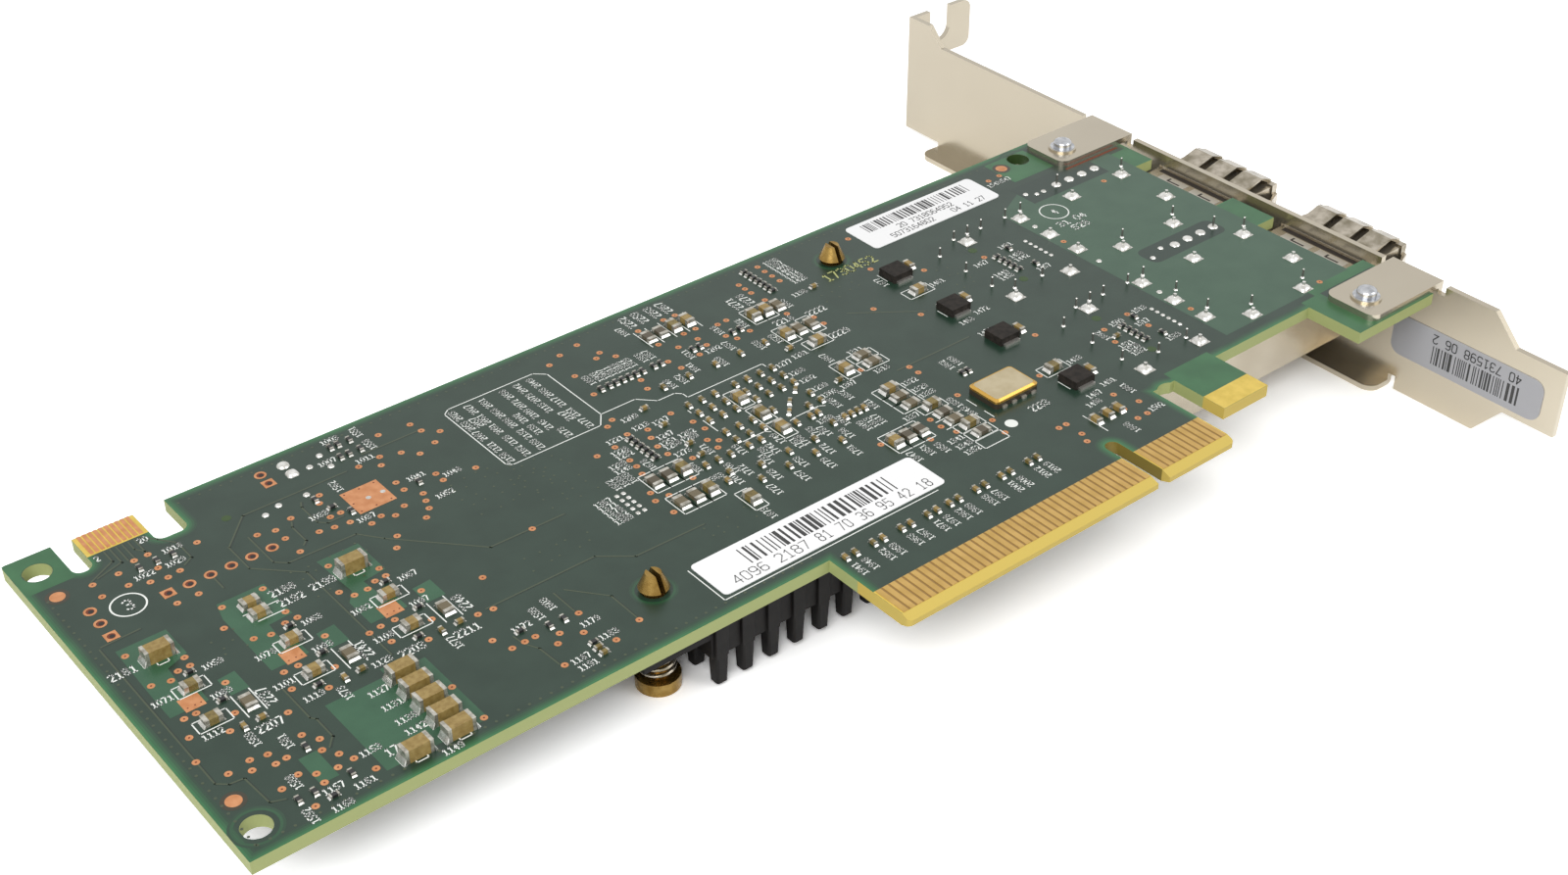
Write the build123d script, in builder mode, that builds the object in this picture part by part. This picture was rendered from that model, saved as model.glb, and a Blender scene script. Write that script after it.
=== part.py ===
from build123d import *
from math import cos, radians, sin
import os

# A fibre channel adapter: a circuit board with an edge tongue, a folded bracket on its end,
# two cages for optical modules behind the bracket, and a finned heat sink.
# Lengths are in millimetres. X runs along the board towards the bracket, Y from the tip of the
# edge tongue to the opposite edge, and Z out of the solder face. The origin lies on the solder
# face, at the tip line of the tongue, in the middle of its key notch.

os.makedirs("parts", exist_ok=True)

# Circuit board. Places marked "from end" are measured along X from the end away from the bracket.
board_length = 165.18
board_width = 68.91
board_thickness = 1.6
main_edge = 12.83
corner_radius = 0.4
inner_radius = 1.2

# Edge tongue with its contacts and key notch
key_from_end = 108.34
key_width = 1.9
key_depth = 8.95
contact_pitch = 1.0
contact_width = 0.7
contact_length = 4.5
contact_setback = 1.2
contact_thickness = 0.06
rear_contacts = 38
front_contacts = 11
key_to_contact = 1.5
tongue_margin = 0.6
tongue_bevel_length = 1.25
tongue_bevel_depth = 0.45

# Slot, foot and recess between the tongue and the bracket end
slot_width = 3.8
slot_top = 13.25
foot_length = 7.9
foot_tip = 4.92
end_pad_length = 14.98
end_pad_tip = 5.2

# Service tongue on the opposite edge, between two notches
service_start = 7.9
service_width = 7.2
service_setback = 0.31
service_notch_depth = 6.51
service_notch_before = 2.3
service_notch_after = 3.9
service_contacts_count = 10
service_pitch = 0.635
service_contact_width = 0.42
service_contact_length = 3.8
service_notch_radius = 1.1

# Holes in the board
mount_hole_radius = 1.6
end_hole_inset = 2.65
end_hole_from_top = 3.41
end_hole_from_main_edge = 3.67
spare_hole_from_bracket_end = 14.8
spare_hole_from_top = 2.81

# Bracket, a folded sheet. Its plate stands across the bracket end of the board.
sheet = 0.86
fold_radius = 0.6
bracket_gap = 1.6
plate_top = 0.55
plate_bottom = -17.5
plate_upper_end = 107.3
shoulder_top = 3.46
shoulder_start = 99.9
shoulder_full = 102.75
tongue_end = -14.4
tongue_top = -3.35
tongue_bottom = -12.9
tongue_shoulder = -3.1
tongue_full = -6.9
flange_depth = 3.54
flange_start = 10.5
flange_end = 100.0
flange_corner = 1.8
flange_relief = 1.1
tail_bottom = -15.7
screw_tab_bottom = -15.2
screw_strip_reach = 3.6
screw_ear_reach = 11.7
screw_ear_bottom = -4.4
screw_slot_width = 4.42
screw_slot_from_plate = 5.1
screw_slot_depth = 5.5

# Board tabs of the bracket, and the screws through them
tab_width = 8.0
tab_reach = 13.48
tab_corner = 1.5
tab_places = (9.55, 64.05)
tab_relief = 1.1
tab_relief_depth = 1.3
tab_hole_radius = 1.5
tab_collar_radius = 2.0
tab_collar_height = 0.25
screw_from_bracket_end = 8.48
screw_places = (9.5, 63.5)
screw_shank_radius = 1.45
screw_reach = 2.2
screw_head_radius = 2.8
screw_head_height = 2.0
screw_drive_radius = 0.9
screw_drive_depth = 1.1

# Cages for the optical modules
cage_places = (23.97, 46.3)
cage_width = 14.1
cage_height = 9.8
cage_wall = 0.4
cage_length = 53.9
cage_reach = 7.6
cage_cut_width = 15.0
cage_cut_depth = 3.58
cage_clearance = 0.3
cage_vent_radius = 0.9
cage_vent_pitch = 3.6
cage_vent_columns = 3
cage_vent_rows = 3
cage_latch_length = 3.2
cage_latch_width = 1.0

# Spring collar round the front of each cage
collar_sheet = 0.25
collar_length = 6.6
collar_band = 1.0
finger_rise = 1.35
finger_crest = 2.2
finger_width = 3.3
finger_pitch_wide = 4.5
finger_pitch_high = 4.2

# Connector inside each cage
connector_length = 9.0
connector_width = 11.8
connector_height = 6.9
connector_slot_width = 9.8
connector_slot_height = 1.3
connector_slot_depth = 6.0
connector_slot_lift = 3.6

# Solder joints of the cage legs, in two rows to a cage
leg_pitch = 10.0
leg_row_gap = 7.125
leg_count = 4
leg_side_start = 36.8
leg_side_shift = 5.0
leg_extra_places = ((10.0, 1.5), (10.0, -3.7), (30.0, -1.3))
joint_width = 1.9
joint_top_width = 0.7
joint_height = 0.5
pin_joint_width = 1.3

# Indicator blocks and their light pipes
indicator_from_bracket_end = 22.2
indicator_length = 15.0
indicator_width = 3.2
indicator_height = 6.0
indicator_places = (35.1, 57.2)
indicator_pins = 4
indicator_pin_pitch = 2.54
indicator_first_pin = 6.2
light_pipe_radius = 0.8
light_pipe_sides = 12
light_pipe_depth = 3.6
light_pipe_pitch = 2.8

# Heat sink, with a pin field on its lower face
sink_to_cage = 5.19
sink_from_top = 2.56
sink_length = 69.4
sink_width = 50.4
sink_lift = 3.3
sink_base = 4.0
pin_pitch = 3.6
pin_width = 1.95
pin_tip_width = 1.6
pin_height = 3.7
pin_cross_gap = 1.65
pin_rows = 7
first_pin_from_edge = 2.95

# Push pins through the heat sink and the board
push_inset = 4.95
push_hole_radius = 1.5
push_shank_radius = 1.3
push_barb_radius = 1.75
push_barb_height = 2.4
push_barb_rise = 0.5
push_barb_tip = 0.9
push_seat = 0.05
push_slit = 0.6
push_head_radius = 2.6
push_head_height = 1.6
push_head_drop = 4.0
push_clearance = 4.0
push_pocket = 5.5
spring_radius = 1.85
spring_wire = 0.4
spring_turns = 3
spring_steps = 6
spring_play = 0.06

# Controller under the heat sink
controller_shift = (0.05, 0.35)
package_side = 31.0
package_height = 1.7
lid_side = 27.0
lid_height = 1.1

# Oscillator
oscillator_centre = (106.65, 24.45)
oscillator_length = 7.0
oscillator_width = 5.0
oscillator_height = 0.9
oscillator_lid_margin = 0.45
oscillator_lid_height = 0.4

# Filter coils beside the heat sink's edge, with a lead on two sides
filter_coil_places = ((115.05, 53.0), (115.05, 42.05), (115.05, 33.2), (115.05, 20.4))
filter_coil_length = 3.2
filter_coil_width = 3.0
filter_coil_height = 1.1
filter_lead_width = 2.5
filter_lead_reach = 0.5
filter_lead_height = 0.3

# Chip sizes as (length, width, height)
large_chip = (3.2, 1.6, 1.6)
medium_chip = (2.0, 1.25, 1.25)
standard_chip = (1.6, 0.8, 0.8)
small_chip = (1.0, 0.5, 0.5)
inductor_chip = (2.0, 1.25, 0.9)
resistor_chip = (1.0, 0.5, 0.35)
array_chip = (5.2, 1.0, 0.5)
end_cap_length = 0.5

# Chip places. A row is its Y with the X of each chip, and a column its X with the Y of each.
large_rows = ((44.5, (6.5, 29.0)), (15.4, (19.2, 24.0)))
large_column = (24.1, (26.1, 23.4, 20.8, 18.1))
power_rows = ((38.0, (6.9, 18.15, 29.6)), (32.2, (6.2, 17.5, 28.9)), (46.0, (17.6,)), (43.9, (17.6,)))
medium_lying = ((96.7, 47.2), (96.2, 33.3), (97.9, 27.6), (98.7, 21.9), (114.6, 48.2), (114.8, 24.1))
medium_standing = ((81.2, 43.4), (81.2, 39.2), (81.2, 35.4), (67.2, 36.3), (67.2, 31.2), (69.75, 26.8),
                   (95.1, 40.15), (84.9, 61.4), (87.0, 61.4), (94.3, 57.05), (96.2, 57.05),
                   (94.7, 50.9), (89.4, 24.7))
bead_lying = ((96.2, 31.4), (96.2, 29.4), (97.9, 25.6), (97.9, 23.7), (98.7, 19.9), (98.8, 41.2),
              (98.8, 39.25))
bead_standing = ((10.2, 32.3), (21.6, 32.3), (33.0, 32.3), (63.2, 36.3), (65.2, 36.3), (63.2, 31.2),
                 (65.2, 31.2), (81.0, 61.4), (82.9, 61.4), (98.2, 57.05), (96.7, 50.9), (98.7, 50.9),
                 (91.4, 24.7), (93.3, 24.7))
standard_column = (117.95, (53.7, 43.0, 33.2, 20.95))
standard_row = (12.9, (110.6, 112.6, 114.4))
tongue_pairs = (71.5, 75.5, 79.6, 83.5, 86.8, 90.9, 94.9, 99.2)
tongue_pair_gap = 1.4
tongue_pair_y = 12.0
field_columns = (75.6, 77.6, 79.6, 82.7, 84.6, 86.6, 88.5)
field_rows = (46.1, 44.0, 42.0)
small_standing_rows = (
    (38.9, (75.6, 77.6, 79.6, 82.7, 88.5)),
    (36.9, (75.6, 77.6, 79.6, 86.6, 88.5)),
    (35.1, (69.7, 71.5, 73.3, 76.0, 77.8, 83.2, 85.4, 86.5)),
    (32.4, (71.0, 86.5, 88.4, 89.4, 90.4, 91.4)),
    (31.2, (69.8, 74.7, 78.8, 82.7)),
    (29.0, (73.0, 77.0, 81.0, 85.0)),
    (51.2, (75.7, 79.6, 83.7, 87.6, 91.5)),
    (29.4, (8.2, 19.4, 30.8)),
)
small_lying_rows = (
    (29.5, (10.2, 21.4, 33.0)),
    (49.0, (71.2,)), (44.8, (71.0,)), (39.8, (71.0,)), (37.2, (70.7,)), (57.7, (104.9,)),
    (48.2, (93.0,)), (38.8, (93.0,)), (16.9, (41.7,)), (15.9, (41.7,)), (24.2, (126.2,)),
)
slanted_places = ((85.4, 39.0), (87.6, 40.6), (84.0, 37.4))
slant = 45
resistor_lying_columns = (
    (66.2, (45.0, 44.0, 43.0, 42.0, 41.0, 40.0)),
    (58.9, (36.9, 35.9, 34.9, 33.9, 32.9)),
    (100.2, (66.3, 65.3, 64.3, 63.3, 62.3, 61.3, 60.3)),
    (128.5, (48.0, 46.9, 45.9, 44.9, 43.8, 25.4, 24.4, 23.4, 22.4, 21.4)),
    (7.8, (40.2,)), (19.1, (40.2,)), (30.5, (40.2,)), (8.4, (34.3,)), (19.6, (34.3,)), (31.0, (34.3,)),
    (16.9, (30.2,)), (28.5, (30.2,)), (10.2, (15.4,)), (32.8, (55.5,)), (41.8, (17.9,)), (37.0, (24.2,)),
)
resistor_standing_rows = (
    (55.7, (69.7, 70.9, 71.9, 72.9, 73.9, 74.9, 75.9, 77.6, 78.7, 83.6, 84.7, 89.9, 91.1)),
    (30.4, (105.6, 106.5)),
    (59.1, (11.4, 13.4, 15.3)),
    (65.8, (38.4, 39.4, 40.9)), (63.4, (38.4, 39.5, 41.0)),
    (53.5, (42.8, 34.1)), (57.9, (32.0,)), (23.0, (11.4, 39.8, 41.6)), (17.0, (7.3, 9.0, 13.0)),
    (48.6, (131.3,)), (43.5, (131.3,)), (26.0, (131.3,)), (21.1, (131.3,)),
)
array_places = ((134.5, 46.2), (134.5, 23.5))

# Parts on the hidden face of the board
coil_places = ((12.0, 46.0), (24.5, 46.0), (37.0, 46.0))
coil_side = 10.0
coil_height = 3.2
coil_corner = 1.2
regulator_places = ((12.0, 33.0), (24.5, 33.0), (37.0, 33.0))
regulator_length = 6.0
regulator_width = 5.0
regulator_height = 1.0
bulk_places = ((10.0, 23.0), (20.0, 23.0), (30.0, 23.0), (40.0, 23.0))
bulk_chip = (7.3, 4.3, 2.8)
memory_centre = (129.0, 60.5)
memory_length = 5.3
memory_width = 5.3
memory_height = 1.8
memory_lead_pitch = 1.27
memory_lead_width = 0.42
memory_lead_reach = 1.3
memory_lead_thickness = 0.2

# Labels
label_thickness = 0.1
address_label_area = (56.9, 88.7, 15.2, 21.6)
serial_label_length = 23.1
serial_label_width = 6.7
serial_label_from_bracket_end = 24.38
serial_label_from_top = 2.41
bracket_label_area = (-12.0, 11.0, -12.0, -6.0)

# Work planes with X measured from the board's far end
solder_face = Plane(origin=(-key_from_end, 0, 0))
part_face = solder_face.offset(-board_thickness)

# Places along X that several pieces share
plate_inner = board_length + bracket_gap
plate_outer = plate_inner + sheet
screw_x = board_length - screw_from_bracket_end
cage_front = plate_outer + cage_reach
cage_rear = cage_front - cage_length
tongue_low = key_from_end - key_to_contact - (rear_contacts - 1) * contact_pitch - tongue_margin
tongue_high = key_from_end + key_to_contact + (front_contacts - 1) * contact_pitch + tongue_margin
foot_start = tongue_high + slot_width
end_pad_start = board_length - end_pad_length
sink_top = -board_thickness - sink_lift
sink_bottom = sink_top - sink_base
sink_centre = (cage_rear - sink_to_cage - sink_length / 2, board_width - sink_from_top - sink_width / 2)
controller_centre = (sink_centre[0] + controller_shift[0], sink_centre[1] + controller_shift[1])
push_offset_x = sink_length / 2 - push_inset
push_offset_y = sink_width / 2 - push_inset
push_places = [
    (sink_centre[0] - push_offset_x, sink_centre[1] - push_offset_y),
    (sink_centre[0] + push_offset_x, sink_centre[1] + push_offset_y),
]
push_head_bottom = sink_bottom - push_head_drop
end_hole_places = ((end_hole_inset, board_width - end_hole_from_top),
                   (end_hole_inset, main_edge + end_hole_from_main_edge))


def area(x_low, x_high, y_low, y_high, radius=0.0, mode=Mode.ADD):
    """Adds a rectangle, given by its sides, to the sketch in hand."""
    with Locations(((x_low + x_high) / 2, (y_low + y_high) / 2)):
        if radius:
            RectangleRounded(x_high - x_low, y_high - y_low, radius, mode=mode)
        else:
            Rectangle(x_high - x_low, y_high - y_low, mode=mode)


def along_x(x_from_end):
    """Plane across the board: its X is the board's Y, and its Y is the board's Z."""
    return Plane(origin=(x_from_end - key_from_end, 0, 0), x_dir=(0, 1, 0), z_dir=(1, 0, 0))


def along_y(y):
    """Plane along the board, facing the tongue, with X measured from the board's far end."""
    return Plane(origin=(-key_from_end, y, 0), x_dir=(1, 0, 0), z_dir=(0, -1, 0))


def write(builder, name):
    """Labels a finished piece and writes it under its own name."""
    builder.part.label = name
    export_step(builder.part, f"parts/{name}.step")


# Circuit board
with BuildPart() as circuit_board:
    with BuildSketch(part_face):
        area(0, board_length, main_edge, board_width)
        area(tongue_low, tongue_high, 0, main_edge)
        area(foot_start, foot_start + foot_length, foot_tip, main_edge)
        area(end_pad_start, board_length, end_pad_tip, main_edge)
    extrude(amount=board_thickness)
    fillet(circuit_board.edges().filter_by(Axis.Z).group_by(Axis.Y)[0], radius=inner_radius / 2)
    fillet(circuit_board.edges().filter_by(Axis.Z).group_by(Axis.Y)[-1], radius=corner_radius)
    with BuildSketch(part_face):
        area(tongue_high, foot_start, 0, slot_top - slot_width / 2)
        with Locations(((tongue_high + foot_start) / 2, slot_top - slot_width / 2)):
            Circle(slot_width / 2)
        area(foot_start + foot_length, end_pad_start, 0, slot_top)
    extrude(amount=board_thickness, mode=Mode.SUBTRACT)
    with BuildSketch(part_face):
        with Locations((key_from_end, key_depth - key_width / 2)):
            Circle(key_width / 2)
        area(key_from_end - key_width / 2, key_from_end + key_width / 2, 0, key_depth - key_width / 2)
    extrude(amount=board_thickness, mode=Mode.SUBTRACT)
    with BuildSketch(part_face):
        service_end = service_start + service_width
        service_notch_bottom = board_width - service_notch_depth
        notch_top = board_width + service_notch_radius
        area(service_start - service_notch_before, service_start, service_notch_bottom, notch_top,
             service_notch_radius)
        area(service_end, service_end + service_notch_after, service_notch_bottom, notch_top,
             service_notch_radius)
        area(service_start, service_end, board_width - service_setback, board_width)
        for place in cage_places:
            area(board_length - cage_cut_depth, board_length,
                 place - cage_cut_width / 2, place + cage_cut_width / 2)
    extrude(amount=board_thickness, mode=Mode.SUBTRACT)
    with BuildSketch(part_face):
        with Locations(*end_hole_places):
            Circle(mount_hole_radius)
        with Locations((board_length - spare_hole_from_bracket_end, board_width - spare_hole_from_top)):
            Circle(mount_hole_radius)
        with Locations(*[(screw_x, y) for y in screw_places]):
            Circle(mount_hole_radius)
        with Locations(*push_places):
            Circle(push_hole_radius)
    extrude(amount=board_thickness, mode=Mode.SUBTRACT)
    with BuildSketch(along_x(tongue_low)):
        for face, back in ((0, -tongue_bevel_depth),
                           (-board_thickness, tongue_bevel_depth - board_thickness)):
            with BuildLine():
                Polyline((0, face), (tongue_bevel_length, face), (0, back), close=True)
            make_face()
    extrude(amount=tongue_high - tongue_low, mode=Mode.SUBTRACT)
write(circuit_board, "circuit_board")

# Contacts of the edge tongue, on both faces
first_rear = key_from_end - key_to_contact
first_front = key_from_end + key_to_contact
contact_places = [first_rear - index * contact_pitch for index in range(rear_contacts)]
contact_places += [first_front + index * contact_pitch for index in range(front_contacts)]


def edge_contacts(plane, direction):
    """Makes the row of contacts that lies on one face of the tongue."""
    with BuildPart() as row:
        with BuildSketch(plane):
            with Locations(*[(x, contact_setback + contact_length / 2) for x in contact_places]):
                Rectangle(contact_width, contact_length)
        extrude(amount=direction * contact_thickness)
    return row


write(edge_contacts(solder_face, 1), "edge_contacts_solder_side")
write(edge_contacts(part_face, -1), "edge_contacts_part_side")

# Contacts of the service tongue
with BuildPart() as service_contacts:
    service_middle = service_start + service_width / 2
    service_tip = board_width - service_setback
    for plane, direction in ((solder_face, 1), (part_face, -1)):
        with BuildSketch(plane):
            with Locations((service_middle, service_tip - service_contact_length / 2)):
                with GridLocations(service_pitch, 0, service_contacts_count, 1):
                    Rectangle(service_contact_width, service_contact_length)
        extrude(amount=direction * contact_thickness)
write(service_contacts, "service_contacts")

# Bracket
with BuildPart() as mounting_bracket:
    with BuildSketch(along_x(plate_inner)):
        with BuildLine():
            Polyline(
                (plate_upper_end, shoulder_top),
                (shoulder_full, shoulder_top),
                (shoulder_start, plate_top),
                (tongue_shoulder, plate_top),
                (tongue_full, tongue_top),
                (tongue_end, tongue_top),
                (tongue_end, tongue_bottom),
                (tongue_full, tongue_bottom),
                (tongue_shoulder, plate_bottom),
                (flange_start - flange_relief, plate_bottom),
                (flange_start - flange_relief, plate_bottom + sheet + flange_relief),
                (flange_start, plate_bottom + sheet + flange_relief),
                (flange_start, plate_bottom),
                (flange_end, plate_bottom),
                (flange_end, tail_bottom),
                (plate_upper_end, tail_bottom),
                close=True,
            )
        make_face()
        for place in tab_places:
            for side in (-1, 1):
                middle = place + side * (tab_width + tab_relief) / 2
                area(middle - tab_relief / 2, middle + tab_relief / 2,
                     plate_top - tab_relief_depth, plate_top, mode=Mode.SUBTRACT)
        for place in cage_places:
            area(place - cage_width / 2 - cage_clearance, place + cage_width / 2 + cage_clearance,
                 -board_thickness - cage_height - cage_clearance, -board_thickness + cage_clearance,
                 mode=Mode.SUBTRACT)
        for place in indicator_places:
            with Locations((place, -board_thickness - light_pipe_depth)):
                with GridLocations(0, light_pipe_pitch, 1, 2):
                    RegularPolygon(light_pipe_radius + cage_clearance, light_pipe_sides, mode=Mode.SUBTRACT)
    extrude(amount=sheet)
    with BuildSketch(solder_face.offset(plate_bottom)) as flange:
        area(plate_outer - sheet - flange_depth, plate_outer, flange_start, flange_end)
        fillet(flange.vertices().group_by(Axis.X)[0], radius=flange_corner)
    extrude(amount=sheet)
    with BuildSketch(solder_face) as tabs:
        for place in tab_places:
            area(plate_inner - tab_reach, plate_outer, place - tab_width / 2, place + tab_width / 2)
        fillet(tabs.vertices().group_by(Axis.X)[0], radius=tab_corner)
    extrude(amount=sheet)
    with BuildSketch(solder_face.offset(sheet)):
        with Locations(*[(screw_x, y) for y in screw_places]):
            Circle(tab_collar_radius)
    extrude(amount=tab_collar_height)
    with BuildSketch(solder_face):
        with Locations(*[(screw_x, y) for y in screw_places]):
            Circle(tab_hole_radius)
    extrude(amount=sheet + tab_collar_height, mode=Mode.SUBTRACT)
    with BuildSketch(along_y(plate_upper_end)) as screw_tab:
        area(plate_inner, plate_outer + screw_strip_reach, screw_tab_bottom, shoulder_top)
        area(plate_outer, plate_outer + screw_ear_reach, screw_ear_bottom, shoulder_top)
        fillet(screw_tab.vertices().group_by(Axis.X)[-1], radius=tab_corner)
        slot_middle = plate_outer + screw_slot_from_plate
        area(slot_middle - screw_slot_width / 2, slot_middle + screw_slot_width / 2,
             shoulder_top - screw_slot_depth + screw_slot_width / 2, shoulder_top, mode=Mode.SUBTRACT)
        with Locations((slot_middle, shoulder_top - screw_slot_depth + screw_slot_width / 2)):
            Circle(screw_slot_width / 2, mode=Mode.SUBTRACT)
    extrude(amount=sheet)
    flange_fold = mounting_bracket.edges().filter_by(Axis.Y).group_by(Axis.Z)[0].sort_by(Axis.X)[-1]
    fillet(flange_fold, radius=fold_radius)
    screw_fold = mounting_bracket.edges().filter_by(Axis.Z).filter_by_position(
        Axis.X, plate_inner - key_from_end, plate_inner - key_from_end
    ).sort_by(Axis.Y)[-1]
    fillet(screw_fold, radius=fold_radius)
write(mounting_bracket, "mounting_bracket")


def module_cage(place):
    """Makes the folded cage whose middle lies at the given Y."""
    low = -board_thickness - cage_height
    with BuildPart() as cage:
        with BuildSketch(along_x(cage_rear)):
            area(place - cage_width / 2, place + cage_width / 2, low, -board_thickness)
        extrude(amount=cage_length)
        with BuildSketch(along_x(cage_rear + cage_wall)):
            area(place - cage_width / 2 + cage_wall, place + cage_width / 2 - cage_wall,
                 low + cage_wall, -board_thickness - cage_wall)
        extrude(amount=cage_length - cage_wall, mode=Mode.SUBTRACT)
        with BuildSketch(part_face):
            area(cage_rear + cage_wall, cage_rear + cage_wall + connector_length + 2 * cage_clearance,
                 place - connector_width / 2 - cage_clearance, place + connector_width / 2 + cage_clearance)
            for side in (-1, 1):
                middle = place + side * cage_width / 4
                area(board_length - cage_latch_length, board_length,
                     middle - cage_latch_width / 2, middle + cage_latch_width / 2)
        extrude(amount=-cage_wall, mode=Mode.SUBTRACT)
        with BuildSketch(solder_face.offset(low)):
            with Locations(((cage_rear + plate_inner) / 2, place)):
                with GridLocations(cage_vent_pitch * 2, cage_vent_pitch, cage_vent_columns, cage_vent_rows):
                    RegularPolygon(cage_vent_radius, 6)
        extrude(amount=cage_wall, mode=Mode.SUBTRACT)
    return cage


def spring_collar(place):
    """Makes the collar of sprung fingers round the front of the cage at the given Y."""
    middle = -board_thickness - cage_height / 2
    back = cage_front - collar_length
    with BuildPart() as collar:
        with BuildSketch(along_x(back)):
            with Locations((place, middle)):
                Rectangle(cage_width + 2 * collar_sheet, cage_height + 2 * collar_sheet)
                Rectangle(cage_width, cage_height, mode=Mode.SUBTRACT)
        extrude(amount=collar_band)
        with BuildSketch(along_x(cage_front - collar_band)):
            with Locations((place, middle)):
                Rectangle(cage_width + 2 * collar_sheet, cage_height + 2 * collar_sheet)
                Rectangle(cage_width, cage_height, mode=Mode.SUBTRACT)
        extrude(amount=collar_band)
        sides = (
            (Vector(0, 1, 0), cage_width / 2, Vector(0, 0, 1), finger_pitch_high, 2),
            (Vector(0, -1, 0), cage_width / 2, Vector(0, 0, 1), finger_pitch_high, 2),
            (Vector(0, 0, 1), cage_height / 2, Vector(0, 1, 0), finger_pitch_wide, 3),
            (Vector(0, 0, -1), cage_height / 2, Vector(0, 1, 0), finger_pitch_wide, 3),
        )
        for outward, half, across, pitch, count in sides:
            for index in range(count):
                step = (index - (count - 1) / 2) * pitch
                start = Vector(back - key_from_end, place, middle) + outward * half + across * step
                plane = Plane(origin=start, x_dir=(1, 0, 0), z_dir=Vector(1, 0, 0).cross(outward))
                crest = collar_length - finger_crest
                with BuildSketch(plane):
                    with BuildLine():
                        Polyline(
                            (0, 0), (0, collar_sheet), (crest, finger_rise),
                            (collar_length, collar_sheet + cage_clearance), (collar_length, 0),
                            (collar_length - collar_sheet, 0), (crest, finger_rise - collar_sheet),
                            (collar_band / 2, 0), close=True,
                        )
                    make_face()
                extrude(amount=finger_width / 2, both=True)
    return collar


def module_connector(place):
    """Makes the connector that a module plugs into, at the back of its cage."""
    back = cage_rear + cage_wall + cage_clearance
    with BuildPart() as connector:
        with BuildSketch(part_face):
            area(back, back + connector_length, place - connector_width / 2, place + connector_width / 2)
        extrude(amount=-connector_height)
        lift = -board_thickness - connector_slot_lift
        with BuildSketch(along_x(back + connector_length - connector_slot_depth)):
            area(place - connector_slot_width / 2, place + connector_slot_width / 2,
                 lift - connector_slot_height / 2, lift + connector_slot_height / 2)
        extrude(amount=connector_slot_depth, mode=Mode.SUBTRACT)
    return connector


# Both ports, each with its cage, collar and connector
for number, place in enumerate(cage_places, start=1):
    write(module_cage(place), f"module_cage_{number}")
    write(spring_collar(place), f"cage_spring_collar_{number}")
    write(module_connector(place), f"module_connector_{number}")

# Solder joints where the legs of the cages come through the board
leg_start = board_length - leg_side_start
leg_places = []
for place in cage_places:
    for index in range(leg_count):
        leg_places.append((leg_start + index * leg_pitch, place + leg_row_gap))
        leg_places.append((leg_start - leg_side_shift + index * leg_pitch, place - leg_row_gap))
    for shift_x, shift_y in leg_extra_places:
        leg_places.append((leg_start + shift_x, place + shift_y))


def solder_joints(places, width):
    """Makes a low pyramid of solder over the tip of a leg, at each place."""
    with BuildPart() as joints:
        with BuildSketch(solder_face) as feet:
            with Locations(*places):
                Rectangle(width, width)
        with BuildSketch(solder_face.offset(joint_height)) as tops:
            with Locations(*places):
                Rectangle(joint_top_width, joint_top_width)
        for foot, top in zip(feet.sketch.faces(), tops.sketch.faces()):
            loft(sections=[foot, top], ruled=True)
    return joints


write(solder_joints(leg_places, joint_width), "cage_solder_joints")

# Indicator blocks, their light pipes and the ends of their pins
indicator_x = board_length - indicator_from_bracket_end
with BuildPart() as indicator_blocks:
    with BuildSketch(part_face):
        for place in indicator_places:
            area(indicator_x, indicator_x + indicator_length,
                 place - indicator_width / 2, place + indicator_width / 2)
    extrude(amount=-indicator_height)
write(indicator_blocks, "indicator_blocks")

with BuildPart() as light_pipes:
    with BuildSketch(along_x(indicator_x + indicator_length)):
        for place in indicator_places:
            with Locations((place, -board_thickness - light_pipe_depth)):
                with GridLocations(0, light_pipe_pitch, 1, 2):
                    RegularPolygon(light_pipe_radius, light_pipe_sides)
    extrude(amount=plate_outer - indicator_x - indicator_length)
write(light_pipes, "light_pipes")

indicator_pin_places = [
    (indicator_x + indicator_first_pin + index * indicator_pin_pitch, place)
    for place in indicator_places
    for index in range(indicator_pins)
]
write(solder_joints(indicator_pin_places, pin_joint_width), "indicator_pin_joints")

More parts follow.
